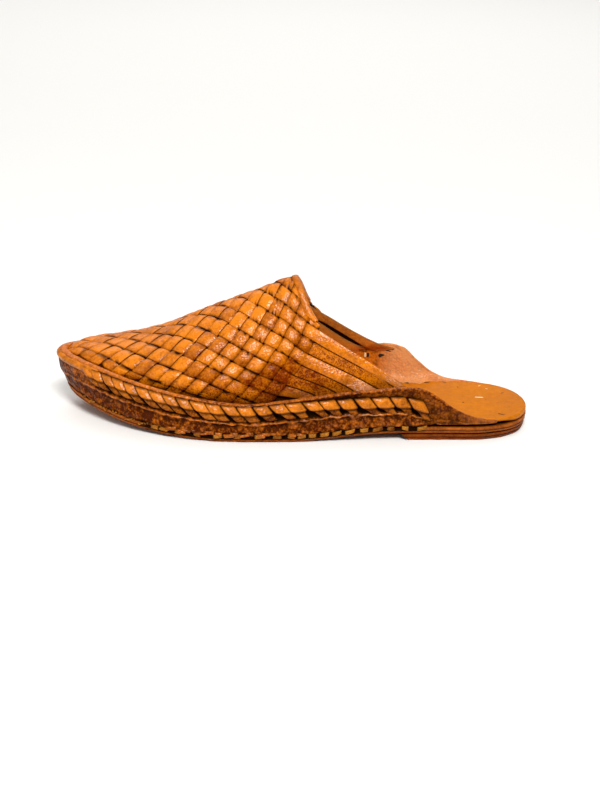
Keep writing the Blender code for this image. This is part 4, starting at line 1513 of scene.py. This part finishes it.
def lining_place(side, last):
    """Place function of the lining of one side, from the ridge or the throat down to the lip."""
    stations = np.linspace(LINING_FIRST, last, LINING_SAMPLES)
    cut_level = cut_height(stations, side * LINING_CUT_ACROSS) - LINING_BELOW_CUT
    top = np.where(stations < THROAT_STATION, 0.0, girth_at(stations, cut_level, side))
    foot = girth_at(stations, lip_height(stations, side) - LINING_TUCK, side)
    foot = np.maximum(foot, top + LINING_LEAST)

    def place(u, v):
        station = LINING_FIRST + u * (last - LINING_FIRST)
        high = np.interp(station, stations, top)
        girth = -side * (high + v * (np.interp(station, stations, foot) - high))
        points = vamp(station, girth) - LINING_DEEP * vamp_normal(station, girth)
        # A dark tone and stain, which also stand for the shade in the openings between strips
        return points.T, {"edge": LINING_STAIN_AND_SHADE, "tone": LINING_TONE}
    return place


linings = []
for side, last, columns in ((-1, LINING_LAST_OUTER, 90), (1, LINING_LAST_INNER, 80)):
    linings.append(lay_sheet("lining", columns, LINING_ROWS, lining_place(side, last)))
lining = join_sheets("vamp_lining", linings)
finish_sheet(lining, smooth=0, closed=True)
finish_sheet(lining, thick=LINING_THICK, smooth=1)

# Lining hide has its flesh side out: dull dark brown with a short nap
lining_leather = leather("lining_hide_napped", light="#6A3414", dark="#2E1206", stain_and_shade="#120602", rough=0.75,
                         coat=0.0, patch=14.0, grain=0.9, relief=0.4)
dress(lining, lining_leather, "woven_leather")


# Slot backing: a thin dark strip of lining hide that closes the long slot between the two upper straps of
# the inner side. Its dark is painted shade, for through the slot one sees the shadow behind the straps; it is
# held between them, in their thickness.
SLOT_FIRST = 0.06
SLOT_LONG = 0.8
SLOT_TALL = 2.6
SLOT_ABOVE = 0.8
SLOT_DEEP = 0.45
SLOT_THICK = 0.4
SLOT_SHADE = 0.8
SLOT_TONE = 0.1
SLOT_GRID = (30, 4)


def slot_place(u, v):
    """Sheet along the slot, held in the thickness of both straps."""
    station, across, height = far_point(1, SLOT_FIRST + SLOT_LONG * u, SLOT_TALL * v - SLOT_ABOVE)
    # A dark sheet that stands for the shadow seen through the slot
    return (station, across - SLOT_DEEP, height), {"edge": SLOT_SHADE, "tone": SLOT_TONE}


slot_shade_strip = lay_sheet("slot_shade_strip", *SLOT_GRID, slot_place)
finish_sheet(slot_shade_strip, thick=SLOT_THICK, smooth=1)
dress(slot_shade_strip, lining_leather, "woven_leather")


# Throat band: a folded strip of smooth leather that binds the cut ends of the strips along the throat,
# from the outer straps over the peak to the inner ones. Its lower end is cut and shows the raw hide.
BAND_THICK = 0.8
BAND_NARROW = 0.45
BAND_NARROW_END = 0.12
BAND_BARE = 0.9
BAND_BARE_OUT = (0.18, 0.1)
BAND_EDGE_ROWS = (5, 6)
BAND_TONE = 0.72
BAND_DARKER = 0.12
BAND_LEAN_AT = 1.0

# Section of the band: way forward over the weave, height over the vamp, dark edge
BAND_SECTION = (
    (3.2, -0.6, 0.4),
    (2.9, 0.0, 0.1),
    (2.0, 0.15, 0.0),
    (1.0, 0.1, 0.0),
    (0.3, -0.1, 0.0),
    (0.0, -0.6, 0.0),
    (0.1, -1.3, 0.0),
    (0.9, -2.0, 0.1),
    (3.0, -2.3, 0.3),
)


def band_place(u, v):
    """Folded section of the band swept along the throat."""
    row = section_row(BAND_SECTION, v)
    forward, rise, dark = np.array(BAND_SECTION)[row].T
    column = u * BAND_COLUMNS
    station = np.interp(column, np.arange(BAND_COLUMNS + 1), band_station)
    girth = np.interp(column, np.arange(BAND_COLUMNS + 1), band_girth)
    narrow = BAND_NARROW + (1 - BAND_NARROW) * ease(u, 0, BAND_NARROW_END)
    outward = vamp_normal(station - BAND_LEAN_AT, girth)
    points = vamp(station - forward * narrow, girth) + outward * rise[:, None]
    bare = BAND_BARE * np.isin(row, BAND_EDGE_ROWS) * ease(u, *BAND_BARE_OUT)
    return points.T, {"edge": dark, "tone": BAND_TONE - BAND_DARKER * u, "bare": bare}


throat_band = lay_sheet("throat_band", BAND_COLUMNS, len(BAND_SECTION) - 1, band_place)
finish_sheet(throat_band, thick=BAND_THICK, smooth=1)
dress(throat_band, woven_leather, "woven_leather")


# Sole stitches: short flat bars of light thong that show where the wall is sewn to the outsole, along the
# channel. Towards the toe only frayed ends of them are left.
STITCH_STATIONS = (62.0, 67.5, 76.0, 87.0, 99.0, 110.0, 122.5, 133.0, 141.0, 147.0, 153.0, 160.0, 167.0,
                   174.5, 182.6, 190.4, 197.9, 206.2, 216.0)
STITCH_LONG = 5.5
STITCH_LONG_UNEVEN = 0.22
STITCH_TALL = 3.2
STITCH_DROP = 0.7
STITCH_PROUD = 1.6
STITCH_PROUD_UNEVEN = 0.2
STITCH_ROOT = 1.3
STITCH_ROUND = 6
STITCH_GRID = (8, 6)
STITCH_SIDES_APART = 50.0
STITCH_DARK = (1.2, 2.2)
STITCH_LEAST_DARK = 0.15
STITCH_LUMP = 0.25
STITCH_LUMP_SIZE = 1.7
STITCH_TAPER = 0.15
STITCH_FLARE = 0.35
STITCH_TURN = 1.3
STITCH_TONE = 0.62
STITCH_TONE_UNEVEN = 0.25
SCRAP_THICK = 0.5

# Frayed ends: each size is its middle and its spread, and scatter is how far one may be off its place
FRAYS = {"grid": (5, 4), "count": 26, "first": 14.0, "last": 72.0, "scatter": 0.4,
         "long": (2.2, 1.2), "tall": (1.5, 0.8), "drop": (0.5, 1.0), "proud": STITCH_PROUD}


def stitch_place(station, side, long, tall, drop, proud, draw):
    """Place function of one stitch round a station; its ends go into the leather."""
    def place(u, v):
        aside = (u if side < 0 else 1 - u) - 0.5
        up = v - 0.5
        run = run_at(station, side) + side * aside * long * (1 + STITCH_TAPER * draw[0] * up)
        pillow = (1 - (2 * np.abs(aside)) ** STITCH_ROUND) * (1 - (2 * np.abs(up)) ** STITCH_ROUND)
        path = np.stack([run, up * tall, np.full_like(run, STITCH_SIDES_APART * side)], axis=1)
        lump = STITCH_LUMP * lumps(path, STITCH_LUMP_SIZE, seed=2.0)
        inset = STITCH_ROOT - pillow * (proud + STITCH_PROUD_UNEVEN * draw[1] + lump)
        point_station, across = ring_point(run, inset)
        height = seat_height(point_station) - drop + up * tall * (1 + STITCH_FLARE * draw[2] * aside)
        height = height + draw[1] * aside * STITCH_TURN
        root_dark, clean = STITCH_DARK
        edge = np.clip(root_dark - clean * pillow, 0, 1) + STITCH_LEAST_DARK
        tone = STITCH_TONE + STITCH_TONE_UNEVEN * draw[0] + lump
        return (point_station, across, height), {"edge": edge, "tone": tone}
    return place


def scrap_row(name, side, grid, count, first, last, scatter, long, tall, drop, proud):
    """Uneven scraps in a row along one side, each with a draw of its own."""
    scraps = []
    for index in range(count):
        draw = draws.uniform(-1, 1, 3)
        station = first + (last - first) * (index + scatter * draw[0]) / count
        own_drop, own_long, own_tall = (middle + spread * part
                                        for (middle, spread), part in zip((drop, long, tall), draw))
        scrap = stitch_place(station, side, own_long, own_tall, own_drop, proud, draw)
        scraps.append(lay_sheet(name, *grid, scrap))
    return scraps


stitches = []
for side in (-1, 1):
    for station in STITCH_STATIONS:
        draw = draws.uniform(-1, 1, 3)
        long = STITCH_LONG * (1 + STITCH_LONG_UNEVEN * draw[1])
        bar = stitch_place(station, side, long, STITCH_TALL, STITCH_DROP, STITCH_PROUD, draw)
        stitches.append(lay_sheet("stitch", *STITCH_GRID, bar))
    stitches += scrap_row("fray", side, **FRAYS)
sole_stitches = join_sheets("sole_stitches", stitches)
finish_sheet(sole_stitches, thick=SCRAP_THICK, smooth=1)

# Stitching thong is raw hide browned by wax, lighter than all round it
stitch_leather = leather("stitch_thong_raw", light="#BE7A26", dark="#5E2A08", stain_and_shade="#160803", rough=0.55,
                         coat=0.1, patch=6.0, grain=0.9, relief=0.6)
dress(sole_stitches, stitch_leather, "lace_leather")


# Torn tabs: scraps of the wall's lower edge that hang over the stitches of the forefoot. They are the same
# oiled hide, curled and waxed, and still hold on to the wall by their upper edge.
TABS = {"grid": STITCH_GRID, "count": 17, "first": 72.0, "last": 150.0, "scatter": 0.35,
        "long": (6.4, 2.2), "tall": (2.4, 0.8), "drop": (-0.8, 0.9), "proud": 2.1}

tabs = scrap_row("tab", -1, **TABS) + scrap_row("tab", 1, **TABS)
torn_tabs = join_sheets("torn_tabs", tabs)
finish_sheet(torn_tabs, thick=SCRAP_THICK, smooth=1)
dress(torn_tabs, wall_leather, "wall_leather")


# Marks: small cuts and holes that the shoe shows, where the footbed is pinned and sewn to the wings and
# where the end of an inner strap goes through the wing. They are thin dark or pale inlays.
MARK_PROUD = 0.22
MARK_THICK = 0.4
MARK_OVER = 0.12
MARK_FROM_ABOVE = 100.0
MARK_FROM_INSIDE = 20.0
WING_FACE_INSET = 5.4
SEAT_MARK_GRID = (8, 3)
SEAT_MARK_ROUND = 2.5
WING_MARK_GRID = (8, 4)
WING_MARK_ROUND = 4
MARK_PAINT = {"edge": 0.0, "tone": 0.5}

# Marks of the footbed: station, place across, length, width, turn in degrees
SEAT_CUTS = (
    (263.0, -20.7, 5.0, 1.1, -28.0),
    (267.0, 14.0, 2.6, 0.5, 35.0),
    (242.0, -2.7, 1.0, 0.8, 0.0),
    (240.5, 21.0, 2.4, 0.4, -70.0),
    (256.0, 3.0, 0.5, 0.5, 0.0),
    (209.8, 25.4, 2.6, 1.1, -15.0),
    (222.1, 26.6, 3.8, 1.2, -12.0),
    (232.7, 27.4, 3.0, 0.8, -25.0),
    (209.8, -25.4, 2.6, 1.1, 15.0),
    (222.1, -26.6, 3.8, 1.2, 12.0),
    (232.7, -27.4, 3.0, 0.8, 25.0),
)
SEAT_PALE = (
    (252.2, 6.1, 5.4, 1.0, 0.0),
    (254.0, 24.0, 1.6, 0.8, 20.0),
    (258.0, 20.0, 1.6, 0.5, -20.0),
)

# Marks of the inner wing: station, height, length, height of the mark, slope, share of its pointed end
WING_CUTS = (
    (195.6, 26.6, 3.8, 3.2, 0.2, 0.8),
    (199.0, 29.9, 5.0, 0.8, -0.25, 0.6),
    (187.6, 26.4, 1.7, 3.4, 0.0, 0.2),
)
WING_PALE = (
    (186.0, 26.2, 1.3, 3.4, 0.0, 0.2),
)


def seat_mark(station, across, long, wide, turn):
    """Thin inlay in the top of the footbed."""
    angle = math.radians(turn)

    def place(u, v):
        x = (u - 0.5) * long
        y = (v - 0.5) * wide * (1 - (2 * np.abs(u - 0.5)) ** SEAT_MARK_ROUND) ** 0.5
        point_station = station + x * math.cos(angle) - y * math.sin(angle)
        point_across = across + x * math.sin(angle) + y * math.cos(angle)
        top = seat_height(point_station) + INSOLE_THICK + MARK_PROUD
        ray = Vector((station - ORIGIN_STATION, across, MARK_FROM_ABOVE)) * MM
        for piece in (footbed, side_wall):
            hit, spot, *_ = piece.ray_cast(ray, Vector((0, 0, -1)))
            if hit:
                top = np.maximum(top, spot.z / MM + MARK_OVER)
        return (point_station, point_across, top), MARK_PAINT
    return lay_sheet("mark", *SEAT_MARK_GRID, place)


def wing_mark(station, height, long, tall, slope, point):
    """Thin inlay in the inner face of the inner wing."""
    def place(u, v):
        x = (u - 0.5) * long
        z = (v - 0.5) * tall * (1 - point * u)
        z = z * (1 - (2 * np.abs(u - 0.5)) ** WING_MARK_ROUND) ** 0.5
        run = run_at(station + x, 1)
        spots = []
        for point_run, point_height in zip(run, height + z + slope * x):
            start = ring_point(point_run, MARK_FROM_INSIDE)
            ray = Vector((start[0] - ORIGIN_STATION, start[1], point_height)) * MM
            hit, spot, *_ = side_wall.ray_cast(ray, Vector((0, 1, 0)))
            across = spot.y / MM - MARK_PROUD
            if not hit:
                across = float(ring_point(point_run, WING_FACE_INSET)[1])
            spots.append((float(start[0]), across, point_height))
        return np.array(spots).T, MARK_PAINT
    return lay_sheet("mark", *WING_MARK_GRID, place)


def plain_finish(name, code, rough):
    """One even colour."""
    material = bpy.data.materials.new(name)
    material.use_nodes = True
    material.node_tree.nodes["Principled BSDF"].inputs["Base Color"].default_value = linear(code)
    material.node_tree.nodes["Principled BSDF"].inputs["Roughness"].default_value = rough
    return material


dark_marks = [seat_mark(*mark) for mark in SEAT_CUTS] + [wing_mark(*mark) for mark in WING_CUTS]
dark_marks = join_sheets("cuts_and_holes", dark_marks)
finish_sheet(dark_marks, thick=MARK_THICK, smooth=1)

# The inside of a cut gets no light
dress(dark_marks, plain_finish("cut_shadow", "#1E0E06", 0.9), "footbed_leather")

pale_marks = [seat_mark(*mark) for mark in SEAT_PALE] + [wing_mark(*mark) for mark in WING_PALE]
pale_marks = join_sheets("pale_scuffs", pale_marks)
finish_sheet(pale_marks, thick=MARK_THICK, smooth=1)

# Where the dye is scraped off, the hide is cream coloured
dress(pale_marks, plain_finish("scraped_hide", "#EBCB95", 0.7), "footbed_leather")


# Stage: a pale floor under a wide soft ceiling lamp, with a soft key lamp above in front of the shoe, a
# weak lamp from the toe side and one behind that draws a rim on the lip.
FLOOR_HALF = 6.0
CAMERA_TARGET = Vector((0.00067, 0.0, 0.025))
CAMERA_DISTANCE = 0.858
CAMERA_ELEVATION = math.radians(21.224)
CAMERA_AZIMUTH = math.radians(0.913)
CAMERA_ROLL = math.radians(-1.705)
CAMERA_LENS = 64.9
CAMERA_SHIFT = (0.0090, -0.0326)

bpy.ops.object.select_all(action="DESELECT")
bpy.ops.mesh.primitive_plane_add(size=2 * FLOOR_HALF)
floor = bpy.context.object
floor.name = "floor"
# Matt pale paint, which shows only the shadow of the shoe
floor.data.materials.append(plain_finish("floor_paint_matt", "#F2F0EC", 0.9))

# Lamps: name, place, the point each is aimed at, size, power in watts
LAMPS = (
    ("ceiling", (0.0, 0.0, 4.0), (0.0, 0.0, 0.0), 8.0, 78.0),
    ("key", (0.12, -0.85, 1.0), (0.0, 0.0, 0.0), 0.42, 17.0),
    ("toe_side", (-1.2, -0.9, 0.7), (0.0, 0.0, 0.0), 0.8, 3.0),
    ("behind", (0.0, 1.9, 1.7), (0.0, 1.9, 0.0), 2.6, 34.0),
)
for name, place, aim, size, power in LAMPS:
    lamp = bpy.data.lights.new(name, "AREA")
    lamp.size = size
    lamp.energy = power
    holder = bpy.data.objects.new(name, lamp)
    bpy.context.scene.collection.objects.link(holder)
    holder.location = place
    holder.rotation_euler = (Vector(aim) - Vector(place)).to_track_quat("-Z", "Y").to_euler()

world = bpy.data.worlds.new("studio")
world.use_nodes = True
world.node_tree.nodes["Background"].inputs["Color"].default_value = linear("#FFFFFF")
world.node_tree.nodes["Background"].inputs["Strength"].default_value = 0.2
bpy.context.scene.world = world
bpy.context.scene.view_settings.view_transform = "Standard"

back = Vector((math.sin(CAMERA_AZIMUTH) * math.cos(CAMERA_ELEVATION),
               -math.cos(CAMERA_AZIMUTH) * math.cos(CAMERA_ELEVATION), math.sin(CAMERA_ELEVATION)))
level_right = Vector((math.cos(CAMERA_AZIMUTH), math.sin(CAMERA_AZIMUTH), 0.0))
level_up = back.cross(level_right)
right = level_right * math.cos(CAMERA_ROLL) - level_up * math.sin(CAMERA_ROLL)
up = level_up * math.cos(CAMERA_ROLL) + level_right * math.sin(CAMERA_ROLL)
camera_data = bpy.data.cameras.new("photo_view")
camera_data.sensor_fit = "VERTICAL"
camera_data.sensor_height = 36.0
camera_data.lens = CAMERA_LENS
camera_data.shift_x, camera_data.shift_y = CAMERA_SHIFT
camera = bpy.data.objects.new("photo_view", camera_data)
bpy.context.scene.collection.objects.link(camera)
pose = Matrix((right, up, back)).transposed().to_4x4()
pose.translation = CAMERA_TARGET + back * CAMERA_DISTANCE
camera.matrix_world = pose
bpy.context.scene.camera = camera
